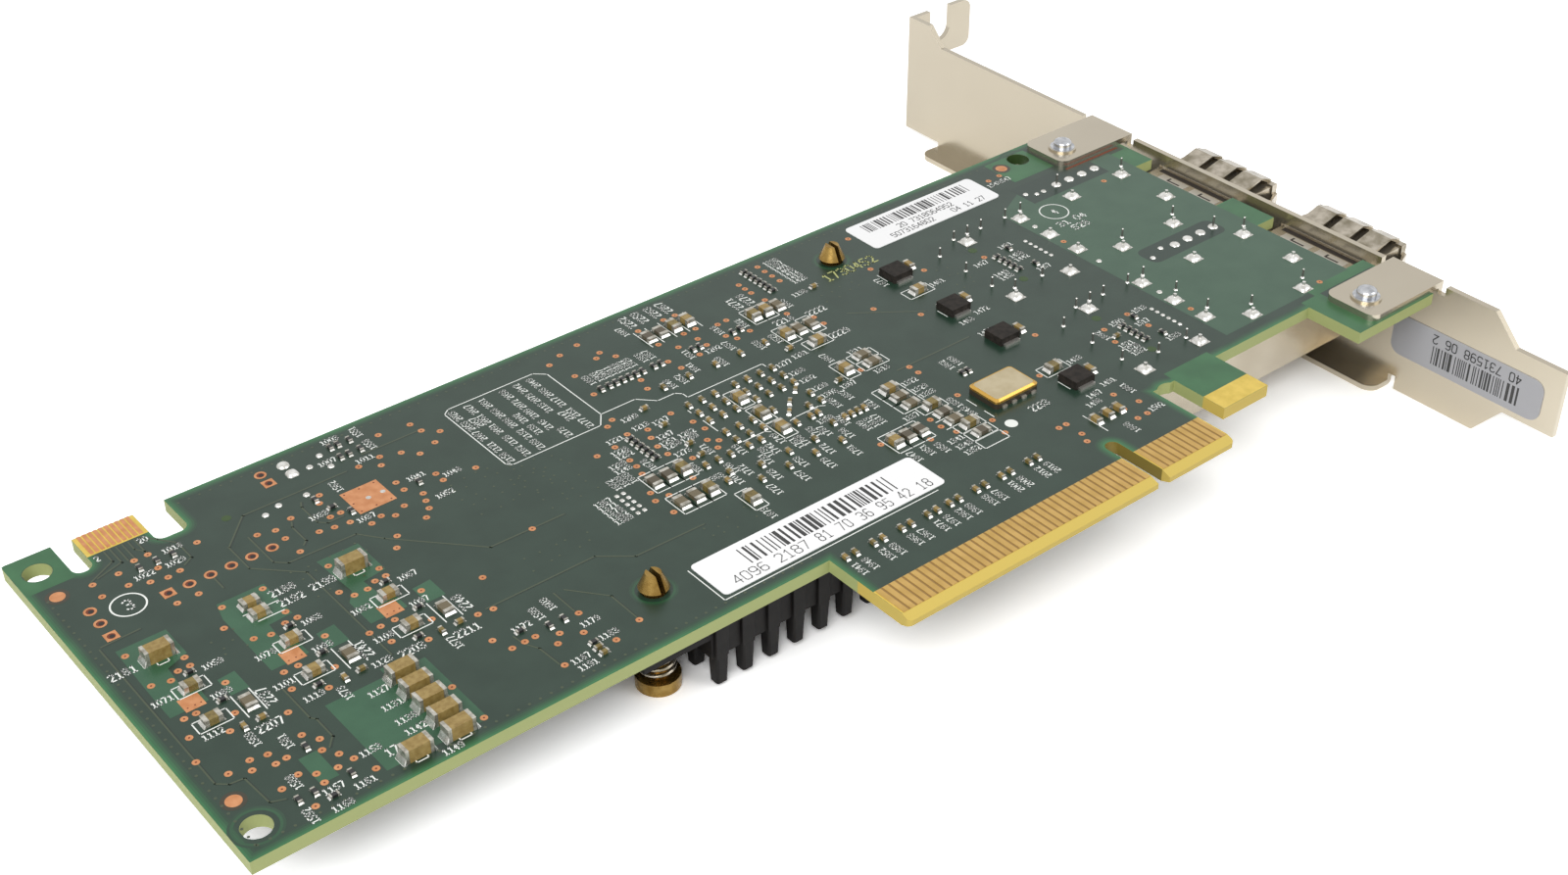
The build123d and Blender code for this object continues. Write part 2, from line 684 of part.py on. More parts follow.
# Heat sink
sink_low_x = sink_centre[0] - sink_length / 2
sink_low_y = sink_centre[1] - sink_width / 2
pin_columns = int((sink_length - first_pin_from_edge - pin_width / 2) / pin_pitch) + 1
pin_row_pitch = (sink_width + pin_cross_gap) / pin_rows
pin_tip_gap = pin_cross_gap + pin_width - pin_tip_width
with BuildPart() as heat_sink:
    with BuildSketch(solder_face.offset(sink_bottom)):
        with Locations(sink_centre):
            Rectangle(sink_length, sink_width)
    extrude(amount=sink_base)
    with BuildSketch(along_y(sink_low_y)):
        fin_middle = sink_low_x + first_pin_from_edge + (pin_columns - 1) * pin_pitch / 2
        with Locations((fin_middle, sink_bottom)):
            with GridLocations(pin_pitch, 0, pin_columns, 1):
                Polygon(
                    (-pin_width / 2, 0), (pin_width / 2, 0),
                    (pin_tip_width / 2, -pin_height), (-pin_tip_width / 2, -pin_height),
                    align=None,
                )
    extrude(amount=-sink_width)
    with BuildSketch(along_x(sink_low_x)):
        with Locations((sink_centre[1], sink_bottom)):
            with GridLocations(pin_row_pitch, 0, pin_rows - 1, 1):
                Polygon(
                    (-pin_cross_gap / 2, 0), (pin_cross_gap / 2, 0),
                    (pin_tip_gap / 2, -pin_height), (-pin_tip_gap / 2, -pin_height),
                    align=None,
                )
    extrude(amount=sink_length, mode=Mode.SUBTRACT)
    with BuildSketch(solder_face.offset(sink_bottom)):
        for sign, (push_x, push_y) in zip((-1, 1), push_places):
            area(push_x - push_clearance, push_x + push_clearance,
                 push_y - push_clearance, push_y + push_clearance)
            edge_x = push_x + sign * (sink_length / 2 - push_offset_x)
            area(min(push_x, edge_x), max(push_x, edge_x), push_y - push_pocket, push_y + push_pocket)
    extrude(amount=-pin_height, mode=Mode.SUBTRACT)
    with BuildSketch(solder_face.offset(sink_bottom)):
        with Locations(*push_places):
            Circle(push_hole_radius)
    extrude(amount=sink_base, mode=Mode.SUBTRACT)
write(heat_sink, "heat_sink")

# Push pins, each a turned pin with a split barb above the board
with BuildPart() as push_pins:
    for push_x, push_y in push_places:
        spot = Plane(origin=(push_x - key_from_end, push_y, 0), x_dir=(1, 0, 0), z_dir=(0, -1, 0))
        with BuildSketch(spot):
            with BuildLine():
                Polyline(
                    (0, push_head_bottom),
                    (push_head_radius, push_head_bottom),
                    (push_head_radius, push_head_bottom + push_head_height),
                    (push_shank_radius, push_head_bottom + push_head_height),
                    (push_shank_radius, push_seat),
                    (push_barb_radius, push_seat + push_barb_rise),
                    (push_barb_tip, push_barb_height),
                    (0, push_barb_height),
                    close=True,
                )
            make_face()
        revolve(axis=Axis((push_x - key_from_end, push_y, 0), (0, 0, 1)))
        with BuildSketch(spot):
            with Locations((0, push_barb_height / 2)):
                Rectangle(push_slit, push_barb_height + board_thickness)
        extrude(amount=push_barb_radius * 2, both=True, mode=Mode.SUBTRACT)
write(push_pins, "push_pins")

# Springs that draw the heat sink to the controller, each a coil of short straight steps
spring_room = sink_bottom - push_head_bottom - push_head_height
spring_rise = spring_room - spring_wire - 2 * spring_play
spring_start = push_head_bottom + push_head_height + spring_play + spring_wire / 2
spring_points = [
    (
        spring_radius * cos(radians(360 * step / spring_steps)),
        spring_radius * sin(radians(360 * step / spring_steps)),
        spring_start + spring_rise * step / (spring_steps * spring_turns),
    )
    for step in range(spring_steps * spring_turns + 1)
]
with BuildPart() as push_pin_springs:
    for push_x, push_y in push_places:
        with BuildLine():
            coil = Polyline(*[(push_x - key_from_end + x, push_y + y, z) for x, y, z in spring_points])
        with BuildSketch(Plane(origin=coil @ 0, z_dir=coil % 0)):
            Rectangle(spring_wire, spring_wire)
        sweep(path=coil, transition=Transition.RIGHT)
write(push_pin_springs, "push_pin_springs")

# Controller package, its lid, and the pad between the lid and the heat sink
package_bottom = -board_thickness - package_height
with BuildPart() as controller_package:
    with BuildSketch(part_face):
        with Locations(controller_centre):
            Rectangle(package_side, package_side)
    extrude(amount=-package_height)
write(controller_package, "controller_package")

with BuildPart() as controller_lid:
    with BuildSketch(solder_face.offset(package_bottom)):
        with Locations(controller_centre):
            Rectangle(lid_side, lid_side)
    extrude(amount=-lid_height)
write(controller_lid, "controller_lid")

with BuildPart() as thermal_pad:
    with BuildSketch(solder_face.offset(sink_top)):
        with Locations(controller_centre):
            Rectangle(lid_side, lid_side)
    extrude(amount=package_bottom - lid_height - sink_top)
write(thermal_pad, "thermal_pad")

# Oscillator
with BuildPart() as oscillator_base:
    with BuildSketch(solder_face):
        with Locations(oscillator_centre):
            Rectangle(oscillator_length, oscillator_width)
    extrude(amount=oscillator_height)
write(oscillator_base, "oscillator_base")

with BuildPart() as oscillator_lid:
    with BuildSketch(solder_face.offset(oscillator_height)):
        with Locations(oscillator_centre):
            Rectangle(oscillator_length - 2 * oscillator_lid_margin,
                      oscillator_width - 2 * oscillator_lid_margin)
    extrude(amount=oscillator_lid_height)
write(oscillator_lid, "oscillator_lid")

# Filter coils
with BuildPart() as filter_coils:
    with BuildSketch(solder_face):
        with Locations(*filter_coil_places):
            Rectangle(filter_coil_length, filter_coil_width)
    extrude(amount=filter_coil_height)
write(filter_coils, "filter_coils")

with BuildPart() as filter_coil_leads:
    with BuildSketch(solder_face):
        with Locations(*filter_coil_places):
            with GridLocations(0, filter_coil_width + filter_lead_reach, 1, 2):
                Rectangle(filter_lead_width, filter_lead_reach)
    extrude(amount=filter_lead_height)
write(filter_coil_leads, "filter_coil_leads")


def chips(plane, direction, places, size):
    """Makes one block for each chip of a size; a place is X, Y and the turn in degrees."""
    length, width, height = size
    with BuildPart() as blocks:
        with BuildSketch(plane):
            for x, y, turn in places:
                with Locations((x, y)):
                    Rectangle(length, width, rotation=turn)
        extrude(amount=direction * height)
    return blocks


def lying(places):
    """Gives chips whose length runs along X their turn."""
    return [(x, y, 0) for x, y in places]


def standing(places):
    """Gives chips whose length runs along Y their turn."""
    return [(x, y, 90) for x, y in places]


def in_rows(rows):
    """Spells out rows, each a Y with the X of its chips, as places."""
    return [(x, y) for y, columns in rows for x in columns]


def in_columns(columns):
    """Spells out columns, each an X with the Y of its chips, as places."""
    return [(x, y) for x, rows in columns for y in rows]


# Chip capacitors of the power supplies, with their soldered ends
large_places = lying(in_rows(large_rows) + in_columns([large_column]))
large_length, large_width, large_height = large_chip
large_body = (large_length - 2 * end_cap_length, large_width, large_height)
write(chips(solder_face, 1, large_places, large_body), "large_capacitor_bodies")
end_shift = (large_length - end_cap_length) / 2
large_ends = [(x + side * end_shift, y, turn) for x, y, turn in large_places for side in (-1, 1)]
large_end = (end_cap_length, large_width, large_height)
write(chips(solder_face, 1, large_ends, large_end), "large_capacitor_ends")
medium_places = lying(in_rows(power_rows) + list(medium_lying)) + standing(medium_standing)
write(chips(solder_face, 1, medium_places, medium_chip), "medium_capacitors")
standard_places = standing(in_columns([standard_column]) + in_rows([standard_row]))
write(chips(solder_face, 1, standard_places, standard_chip), "standard_capacitors")
bead_places = lying(bead_lying) + standing(bead_standing)
write(chips(solder_face, 1, bead_places, inductor_chip), "chip_inductors")

# Small chip capacitors
pair_places = [(x + side * tongue_pair_gap / 2, tongue_pair_y) for x in tongue_pairs for side in (-1, 1)]
small_places = standing(pair_places)
small_places += standing([(x, y) for y in field_rows for x in field_columns])
small_places += standing(in_rows(small_standing_rows)) + lying(in_rows(small_lying_rows))
small_places += [(x, y, slant) for x, y in slanted_places]
write(chips(solder_face, 1, small_places, small_chip), "small_capacitors")

# Chip resistors and resistor arrays
resistor_places = lying(in_columns(resistor_lying_columns)) + standing(in_rows(resistor_standing_rows))
write(chips(solder_face, 1, resistor_places, resistor_chip), "chip_resistors")
write(chips(solder_face, 1, standing(array_places), array_chip), "resistor_arrays")

# Parts on the hidden face: coils, regulators, bulk capacitors and the memory chip
with BuildPart() as power_inductors:
    with BuildSketch(part_face):
        with Locations(*coil_places):
            Rectangle(coil_side, coil_side)
    extrude(amount=-coil_height)
    chamfer(power_inductors.edges().filter_by(Axis.Z), length=coil_corner)
write(power_inductors, "power_inductors")

with BuildPart() as voltage_regulators:
    with BuildSketch(part_face):
        with Locations(*regulator_places):
            Rectangle(regulator_length, regulator_width)
    extrude(amount=-regulator_height)
write(voltage_regulators, "voltage_regulators")
write(chips(part_face, -1, standing(bulk_places), bulk_chip), "bulk_capacitors")

with BuildPart() as memory_chip:
    with BuildSketch(part_face):
        with Locations(memory_centre):
            Rectangle(memory_length, memory_width)
    extrude(amount=-memory_height)
write(memory_chip, "memory_chip")

with BuildPart() as memory_leads:
    with BuildSketch(part_face):
        with Locations(memory_centre):
            with GridLocations(memory_lead_pitch, memory_width + memory_lead_reach, 4, 2):
                Rectangle(memory_lead_width, memory_lead_reach)
    extrude(amount=-memory_lead_thickness)
write(memory_leads, "memory_leads")

# Screws through the board into the bracket's tabs
with BuildPart() as bracket_screws:
    with BuildSketch(part_face):
        with Locations(*[(screw_x, y) for y in screw_places]):
            Circle(screw_shank_radius)
    extrude(amount=board_thickness + sheet + screw_reach)
    with BuildSketch(part_face):
        with Locations(*[(screw_x, y) for y in screw_places]):
            Circle(screw_head_radius)
    extrude(amount=-screw_head_height)
    with BuildSketch(part_face.offset(-screw_head_height)):
        with Locations(*[(screw_x, y) for y in screw_places]):
            RegularPolygon(screw_drive_radius, 6)
    extrude(amount=screw_drive_depth, mode=Mode.SUBTRACT)
write(bracket_screws, "bracket_screws")

# Labels
serial_label_end = board_length - serial_label_from_bracket_end
serial_label_top = board_width - serial_label_from_top
serial_label_area = (serial_label_end - serial_label_length, serial_label_end,
                     serial_label_top - serial_label_width, serial_label_top)
for name, sides in (("address_label", address_label_area), ("serial_label", serial_label_area)):
    with BuildPart() as label:
        with BuildSketch(solder_face):
            area(*sides)
        extrude(amount=label_thickness)
    write(label, name)

with BuildPart() as bracket_label:
    with BuildSketch(along_x(plate_inner)):
        area(*bracket_label_area)
    extrude(amount=-label_thickness)
write(bracket_label, "bracket_label")
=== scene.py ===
import math
import random

import bpy
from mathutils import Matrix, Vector


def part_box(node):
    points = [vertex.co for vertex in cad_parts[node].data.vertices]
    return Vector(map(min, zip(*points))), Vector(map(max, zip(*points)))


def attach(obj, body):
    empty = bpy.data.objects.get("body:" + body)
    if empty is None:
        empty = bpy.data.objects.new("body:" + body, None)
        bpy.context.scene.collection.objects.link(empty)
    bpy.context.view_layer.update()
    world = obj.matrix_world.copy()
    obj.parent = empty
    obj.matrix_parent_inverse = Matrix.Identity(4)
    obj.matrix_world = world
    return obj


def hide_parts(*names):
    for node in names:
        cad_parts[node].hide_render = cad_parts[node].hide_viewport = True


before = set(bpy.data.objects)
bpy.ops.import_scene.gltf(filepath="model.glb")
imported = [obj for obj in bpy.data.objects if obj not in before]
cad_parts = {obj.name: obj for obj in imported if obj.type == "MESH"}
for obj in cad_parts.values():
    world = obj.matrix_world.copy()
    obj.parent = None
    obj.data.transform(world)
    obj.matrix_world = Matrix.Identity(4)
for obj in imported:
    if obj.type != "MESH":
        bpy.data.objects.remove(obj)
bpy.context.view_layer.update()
random.seed(7)

# Sizes are in millimetres, and X is measured along the board from its end away from the bracket
MM = 0.001
board_low, board_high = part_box("circuit_board")
KEY_X = -round(board_low[0] / MM, 2)
BOARD_X = round((board_high[0] - board_low[0]) / MM, 2)
BOARD_Z = round((board_high[2] - board_low[2]) / MM, 2)
BARE_BELOW, FOOT_RIGHT = 8.2, 133.0

# Heights over the board of the zones, the solder, the tin, the copper and the print
POUR_Z, SOLDER_Z, TIN_Z, COPPER_Z, SILK_Z = 0.006, 0.01, 0.012, 0.014, 0.02

# Colours of the solder mask over the planes and at the rims, each from dark to light
MASK_LOW, MASK_HIGH = (0.011, 0.030, 0.018), (0.016, 0.038, 0.024)
RIM_LOW, RIM_HIGH = (0.024, 0.125, 0.044), (0.034, 0.155, 0.056)


def fill(tree, node, sockets):
    """Sets a node's inputs, each to a value or to the output of another node."""
    for socket, value in sockets.items():
        if isinstance(value, bpy.types.NodeSocket):
            tree.links.new(value, node.inputs[socket])
        else:
            node.inputs[socket].default_value = value
    return node


def add(tree, kind, sockets=(), operation=None):
    """A new node of one kind, with its inputs set."""
    node = tree.nodes.new(kind)
    if operation:
        node.operation = operation
    return fill(tree, node, dict(sockets))


def arithmetic(tree, operation, first, second=0.0):
    """The output of a math node."""
    return add(tree, "ShaderNodeMath", {0: first, 1: second}, operation).outputs["Value"]


def principled(name, colour, rough=0.5, metal=0.0):
    """A plain finish, with its values on the shader's own sockets."""
    material = bpy.data.materials.new(name)
    material.use_nodes = True
    shader = material.node_tree.nodes["Principled BSDF"]
    fill(material.node_tree, shader, {"Base Color": (*colour, 1.0), "Roughness": rough, "Metallic": metal})
    return material


def mottled(name, low, high, scale, rough=0.5, metal=0.0, spread=None):
    """A finish whose colour varies between two, and its roughness too where a spread is given."""
    material = principled(name, low, rough, metal)
    tree = material.node_tree
    place = add(tree, "ShaderNodeTexCoord").outputs["Object"]
    noise = add(tree, "ShaderNodeTexNoise", {"Vector": place, "Scale": scale, "Detail": 3.0}).outputs["Fac"]
    ramp = add(tree, "ShaderNodeValToRGB", {"Fac": noise})
    for element, position, colour in zip(ramp.color_ramp.elements, (0.35, 0.65), (low, high)):
        element.position = position
        element.color = (*colour, 1.0)
    shader = tree.nodes["Principled BSDF"]
    tree.links.new(ramp.outputs["Color"], shader.inputs["Base Color"])
    if spread:
        varied = add(tree, "ShaderNodeMapRange", {"Value": noise, "To Min": spread[0], "To Max": spread[1]})
        tree.links.new(varied.outputs["Result"], shader.inputs["Roughness"])
    return material


# Finishes of the board: solder mask, bare laminate, copper, gold and print
mask_pour = mottled("mask_pour", (0.022, 0.082, 0.040), (0.030, 0.100, 0.050), 260, 0.32)
mask_edge = mottled("mask_edge", (0.022, 0.100, 0.036), (0.034, 0.135, 0.050), 200, 0.32)
mask_right = mottled("mask_right", (0.030, 0.080, 0.045), (0.038, 0.092, 0.053), 240, 0.3)
mask_track = principled("mask_track", (0.050, 0.068, 0.036), 0.3)
mask_dark = principled("mask_dark", (0.010, 0.028, 0.018), 0.3)
# Painted shadow drawn beside the tracks under the mask
mask_shade = principled("mask_shade", (0.006, 0.017, 0.010), 0.3)
# Painted shade on the key notch's walls
notch_wall = principled("notch_wall", (0.20, 0.15, 0.025), 0.55)
target_ring = principled("target_ring", (0.035, 0.030, 0.016), 0.35)
bare_laminate = mottled("bare_laminate", (0.60, 0.43, 0.07), (0.70, 0.51, 0.10), 700, 0.45)
copper = mottled("copper", (0.51, 0.205, 0.078), (0.62, 0.28, 0.125), 900, 0.42, 0.2)
gold = mottled("gold", (0.50, 0.31, 0.08), (0.58, 0.37, 0.11), 500, 0.36, 0.4)
contact_gap = principled("contact_gap", (0.26, 0.15, 0.04), 0.5)
# Painted shade, for the insides of holes, slots and sockets and for a band along the bracket
hole_dark = principled("hole_dark", (0.012, 0.008, 0.006), 0.6)
hole_copper = principled("hole_copper", (0.16, 0.035, 0.014), 0.5, 0.3)
# Dark green of the plugged vias, also used as painted shade on a mounting hole's wall
via_green = principled("via_green", (0.028, 0.060, 0.012), 0.5)
silk = principled("silk", (0.80, 0.82, 0.78), 0.6)
silk_yellow = principled("silk_yellow", (0.42, 0.44, 0.18), 0.6)

# Finishes of the chips and of what is soldered
solder = mottled("solder", (0.56, 0.55, 0.51), (0.82, 0.81, 0.78), 1500, 0.24, 0.9, (0.14, 0.36))
tin = principled("tin", (0.62, 0.60, 0.56), 0.32, 0.9)
cap_end = mottled("cap_end", (0.30, 0.28, 0.23), (0.60, 0.58, 0.52), 1500, 0.34, 0.7)
pin_dark = principled("pin_dark", (0.16, 0.16, 0.14), 0.35, 0.6)
tan_ceramic = mottled("tan_ceramic", (0.23, 0.15, 0.04), (0.32, 0.225, 0.075), 1800, 0.42)
olive_ceramic = mottled("olive_ceramic", (0.12, 0.085, 0.02), (0.22, 0.165, 0.05), 1800, 0.42)
dark_ceramic = principled("dark_ceramic", (0.075, 0.060, 0.036), 0.4)
bead_grey = principled("bead_grey", (0.13, 0.105, 0.06), 0.45)
glaze = principled("glaze", (0.016, 0.016, 0.016), 0.3)
moulded = mottled("moulded", (0.014, 0.012, 0.010), (0.028, 0.023, 0.019), 1600, 0.6)
black_plastic = mottled("black_plastic", (0.018, 0.018, 0.02), (0.03, 0.03, 0.032), 900, 0.5)
clear_plastic = principled("clear_plastic", (0.75, 0.78, 0.78), 0.12)
osc_ceramic = principled("osc_ceramic", (0.035, 0.026, 0.016), 0.45)
gilt = principled("gilt", (0.62, 0.37, 0.08), 0.25, 0.85)
lid_plate = mottled("lid_plate", (0.46, 0.38, 0.23), (0.54, 0.46, 0.30), 500, 0.38, 0.55)
package_green = principled("package_green", (0.02, 0.08, 0.04), 0.4)
pad_grey = principled("pad_grey", (0.32, 0.33, 0.36), 0.8)

# Finishes of the bracket, the cages, the heat sink and the labels
nickel = mottled("nickel", (0.48, 0.43, 0.34), (0.525, 0.475, 0.38), 40, 0.26, 0.9, (0.18, 0.28))
cage_steel = mottled("cage_steel", (0.42, 0.37, 0.285), (0.50, 0.45, 0.36), 120, 0.28, 0.9, (0.22, 0.3))
spring_steel = mottled("spring_steel", (0.24, 0.21, 0.15), (0.52, 0.47, 0.39), 500, 0.24, 0.95, (0.14, 0.32))
zinc = mottled("zinc", (0.38, 0.39, 0.41), (0.60, 0.61, 0.63), 900, 0.26, 0.95, (0.16, 0.3))
anodised = mottled("anodised", (0.006, 0.005, 0.005), (0.013, 0.012, 0.011), 500, 0.55, 0.0, (0.46, 0.62))
brass = mottled("brass", (0.24, 0.14, 0.03), (0.38, 0.25, 0.075), 700, 0.28, 0.9, (0.2, 0.34))
paper = principled("paper", (0.88, 0.88, 0.88), 0.5)
paper_grey = principled("paper_grey", (0.42, 0.42, 0.44), 0.45)
ink = principled("ink", (0.03, 0.03, 0.03), 0.5)
ink_light = principled("ink_light", (0.22, 0.22, 0.22), 0.5)
for dull in (moulded, black_plastic, anodised):
    dull.node_tree.nodes["Principled BSDF"].inputs["Specular IOR Level"].default_value = 0.16


def board_material():
    """Solder mask on the faces and bare laminate on the cut edges, chosen by the surface's slope."""
    material = mottled("board", MASK_LOW, MASK_HIGH, 220, 0.3)
    tree = material.node_tree
    place = add(tree, "ShaderNodeTexCoord").outputs["Object"]
    axes = add(tree, "ShaderNodeSeparateXYZ", {"Vector": place}).outputs
    before_foot = arithmetic(tree, "LESS_THAN", axes["X"], (FOOT_RIGHT - KEY_X) * MM)
    below_mask = arithmetic(tree, "LESS_THAN", axes["Y"], BARE_BELOW * MM)
    on_tongue = arithmetic(tree, "MULTIPLY", before_foot, below_mask)
    tint = tree.nodes.new("ShaderNodeMix")
    tint.data_type = "RGBA"
    fill(tree, tint, {"Factor": on_tongue, "A": (0.34, 0.38, 0.15, 1.0), "B": (0.56, 0.42, 0.09, 1.0)})
    edge = add(tree, "ShaderNodeBsdfPrincipled", {"Roughness": 0.6, "Base Color": tint.outputs["Result"]})
    normal = add(tree, "ShaderNodeNewGeometry").outputs["True Normal"]
    upward = add(tree, "ShaderNodeSeparateXYZ", {"Vector": normal}).outputs["Z"]
    level = arithmetic(tree, "GREATER_THAN", arithmetic(tree, "ABSOLUTE", upward), 0.97)
    mask = tree.nodes["Principled BSDF"].outputs["BSDF"]
    both = add(tree, "ShaderNodeMixShader", {"Fac": level, 1: edge.outputs["BSDF"], 2: mask})
    tree.links.new(both.outputs["Shader"], tree.nodes["Material Output"].inputs["Surface"])
    return material


def turned(outline):
    """Twice the signed area of an outline: above zero where it runs counter-clockwise."""
    return sum(a[0] * b[1] - b[0] * a[1] for a, b in zip(outline, outline[1:] + outline[:1]))


def circle(cx, cy, radius, sides=24):
    """The outline of a circle."""
    angles = [math.tau * i / sides for i in range(sides)]
    return [(cx + radius * math.cos(a), cy + radius * math.sin(a)) for a in angles]


def box_outline(x0, x1, y0, y1):
    """The outline of a rectangle."""
    return [(x0, y0), (x1, y0), (x1, y1), (x0, y1)]


class Shape:
    """Collects faces in millimetres, X measured from the board's far end, into one piece."""

    def __init__(self, name):
        self.name = name
        self.points = []
        self.faces = []
        self.finishes = []
        self.smooth = []
        self.used = []

    def add(self, points, faces, finish, smooth=False):
        """Takes in faces, given by the places of their corners in a list of points."""
        if finish not in self.used:
            self.used.append(finish)
        slot = self.used.index(finish)
        start = len(self.points)
        self.points.extend(points)
        for face in faces:
            self.faces.append([start + corner for corner in face])
            self.finishes.append(slot)
            self.smooth.append(smooth)

    def flat(self, outline, z, finish):
        """A flat polygon that faces up."""
        if turned(outline) < 0:
            outline = list(reversed(outline))
        self.add([(x, y, z) for x, y in outline], [list(range(len(outline)))], finish)

    def box(self, low, high, finish):
        """A plain block between two corners."""
        (x0, y0, z0), (x1, y1, z1) = low, high
        self.hull(box_outline(x0, x1, y0, y1), z0, z1, finish)

    def hull(self, outline, z0, z1, finish, smooth=False, top=None, cap=True):
        """A prism between two heights, with an optional other outline on top."""
        top = top or outline
        if turned(outline) < 0:
            outline, top = list(reversed(outline)), list(reversed(top))
        count = len(outline)
        points = [(x, y, z0) for x, y in outline] + [(x, y, z1) for x, y in top]
        sides = [[i, (i + 1) % count, count + (i + 1) % count, count + i] for i in range(count)]
        self.add(points, sides, finish, smooth)
        if cap:
            self.add([(x, y, z1) for x, y in top], [list(range(count))], finish)

    def disc(self, x, y, z, radius, finish, sides=16):
        """A flat round face."""
        self.flat(circle(x, y, radius, sides), z, finish)

    def holed(self, x0, x1, y0, y1, hole, z, finish, sides=32):
        """A flat rectangle with a round hole, given as its centre and radius."""
        cx, cy, radius = hole
        points = []
        angles = [math.tau * i / sides for i in range(sides)]
        angles += [math.atan2(y - cy, x - cx) % math.tau for x in (x0, x1) for y in (y0, y1)]
        angles = sorted(set(angles))
        for angle in angles:
            c, s = math.cos(angle), math.sin(angle)
            across = ((x1 if c > 0 else x0) - cx) / c if abs(c) > 1e-9 else math.inf
            up = ((y1 if s > 0 else y0) - cy) / s if abs(s) > 1e-9 else math.inf
            reach = min(across, up)
            points += [(cx + radius * c, cy + radius * s, z), (cx + reach * c, cy + reach * s, z)]
        count = len(points)
        faces = [[i, i + 1, (i + 3) % count, (i + 2) % count] for i in range(0, count, 2)]
        self.add(points, faces, finish)

    def ring(self, x, y, z, inner, outer, finish, sides=24):
        """A flat ring between two radii."""
        pairs = zip(circle(x, y, inner, sides), circle(x, y, outer, sides))
        points = [(*p, z) for pair in pairs for p in pair]
        count = 2 * sides
        faces = [[i, i + 1, (i + 3) % count, (i + 2) % count] for i in range(0, count, 2)]
        self.add(points, faces, finish)

    def dome(self, x, y, z, radius, height, finish, sides=12, rings=3, square=False):
        """A low rounded mound of solder, square at its foot if asked."""
        points, faces = [], []
        for step in range(rings):
            turn = math.pi / 2 * step / rings
            for i in range(sides):
                angle = math.tau * (i + 0.5) / sides
                reach = radius * math.cos(turn)
                if square:
                    reach *= 1 / max(abs(math.cos(angle)), abs(math.sin(angle))) ** (1 - step / rings)
                across, up = reach * math.cos(angle), reach * math.sin(angle)
                points.append((x + across, y + up, z + height * math.sin(turn)))
        points.append((x, y, z + height))
        for low in range(0, (rings - 1) * sides, sides):
            high = low + sides
            for i in range(sides):
                j = (i + 1) % sides
                faces.append([low + i, low + j, high + j, high + i])
        last = (rings - 1) * sides
        for i in range(sides):
            faces.append([last + i, last + (i + 1) % sides, len(points) - 1])
        self.add(points, faces, finish, True)

    def line(self, points, width, z, finish, closed=False):
        """A flat line with round joints, like a printed stroke."""
        points = list(points)
        if closed:
            points.append(points[0])
        half = width / 2
        for (ax, ay), (bx, by) in zip(points, points[1:]):
            length = math.hypot(bx - ax, by - ay)
            if length < 1e-6:
                continue
            tx, ty = (bx - ax) / length * half, (by - ay) / length * half
            nx, ny = -ty, tx
            outline = [(ax - nx, ay - ny), (bx - nx, by - ny)]
            outline += [(bx - nx / 2 + tx, by - ny / 2 + ty), (bx + nx / 2 + tx, by + ny / 2 + ty)]
            outline += [(bx + nx, by + ny), (ax + nx, ay + ny)]
            outline += [(ax + nx / 2 - tx, ay + ny / 2 - ty), (ax - nx / 2 - tx, ay - ny / 2 - ty)]
            self.flat(outline, z, finish)

    def tube(self, path, radius, finish, sides=8):
        """A round wire along a path in space."""
        points, faces = [], []
        path = [Vector(p) for p in path]
        for i, p in enumerate(path):
            ahead = (path[min(i + 1, len(path) - 1)] - path[max(i - 1, 0)]).normalized()
            side = ahead.cross(Vector((0, 0, 1)))
            if side.length < 0.01:
                side = ahead.cross(Vector((1, 0, 0)))
            side.normalize()
            up = side.cross(ahead)
            for k in range(sides):
                angle = math.tau * k / sides
                points.append(tuple(p + side * radius * math.cos(angle) + up * radius * math.sin(angle)))
        for i in range(len(path) - 1):
            low, high = i * sides, (i + 1) * sides
            for k in range(sides):
                m = (k + 1) % sides
                faces.append([low + k, low + m, high + m, high + k])
        self.add(points, faces, finish, True)
        for end in (points[:sides], points[-sides:]):
            self.add(end, [list(range(sides))], finish)

    def build(self, slot, *nodes, bevel=0.0):
        """Makes the object, rides it on the part and hides the CAD nodes it stands for."""
        mesh = bpy.data.meshes.new(self.name)
        mesh.from_pydata([((x - KEY_X) * MM, y * MM, z * MM) for x, y, z in self.points], [], self.faces)
        for material in self.used:
            mesh.materials.append(material)
        mesh.polygons.foreach_set("material_index", self.finishes)
        mesh.polygons.foreach_set("use_smooth", self.smooth)
        mesh.update()
        thing = bpy.data.objects.new(self.name, mesh)
        bpy.context.collection.objects.link(thing)
        if bevel:
            soften(thing, bevel)
        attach(thing, "root")
        if nodes:
            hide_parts(*nodes)
        return thing


def soften(thing, width):
    """Rounds the sharp edges of a piece a little."""
    bevel = thing.modifiers.new("soft_edges", "BEVEL")
    bevel.width = width * MM
    bevel.segments = 2
    bevel.limit_method = "ANGLE"
    bevel.angle_limit = math.radians(40)


def in_mm(point):
    """A point of the frame in this script's millimetres."""
    return round(point.x / MM + KEY_X, 3), round(point.y / MM, 3), round(point.z / MM, 3)


def middle_of(block):
    """The mean of a block's points along X and Y."""
    return sum(p[0] for p in block) / len(block), sum(p[1] for p in block) / len(block)


def bounds_of(block):
    """The lowest and highest corner of a block."""
    return [min(p[i] for p in block) for i in range(3)], [max(p[i] for p in block) for i in range(3)]


def islands(name):
    """The points of each separate block in a CAD node, in order."""
    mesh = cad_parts[name].data
    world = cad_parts[name].matrix_world
    parent = list(range(len(mesh.vertices)))

    def root(i):
        while parent[i] != i:
            parent[i] = parent[parent[i]]
            i = parent[i]
        return i

    spots = {}
    for vertex in mesh.vertices:
        key = tuple(round(c, 7) for c in vertex.co)
        if key in spots:
            parent[root(vertex.index)] = root(spots[key])
        else:
            spots[key] = vertex.index
    for edge in mesh.edges:
        parent[root(edge.vertices[0])] = root(edge.vertices[1])
    groups = {}
    for vertex in mesh.vertices:
        groups.setdefault(root(vertex.index), []).append(world @ vertex.co)
    return sorted(sorted({in_mm(p) for p in points}) for points in groups.values())


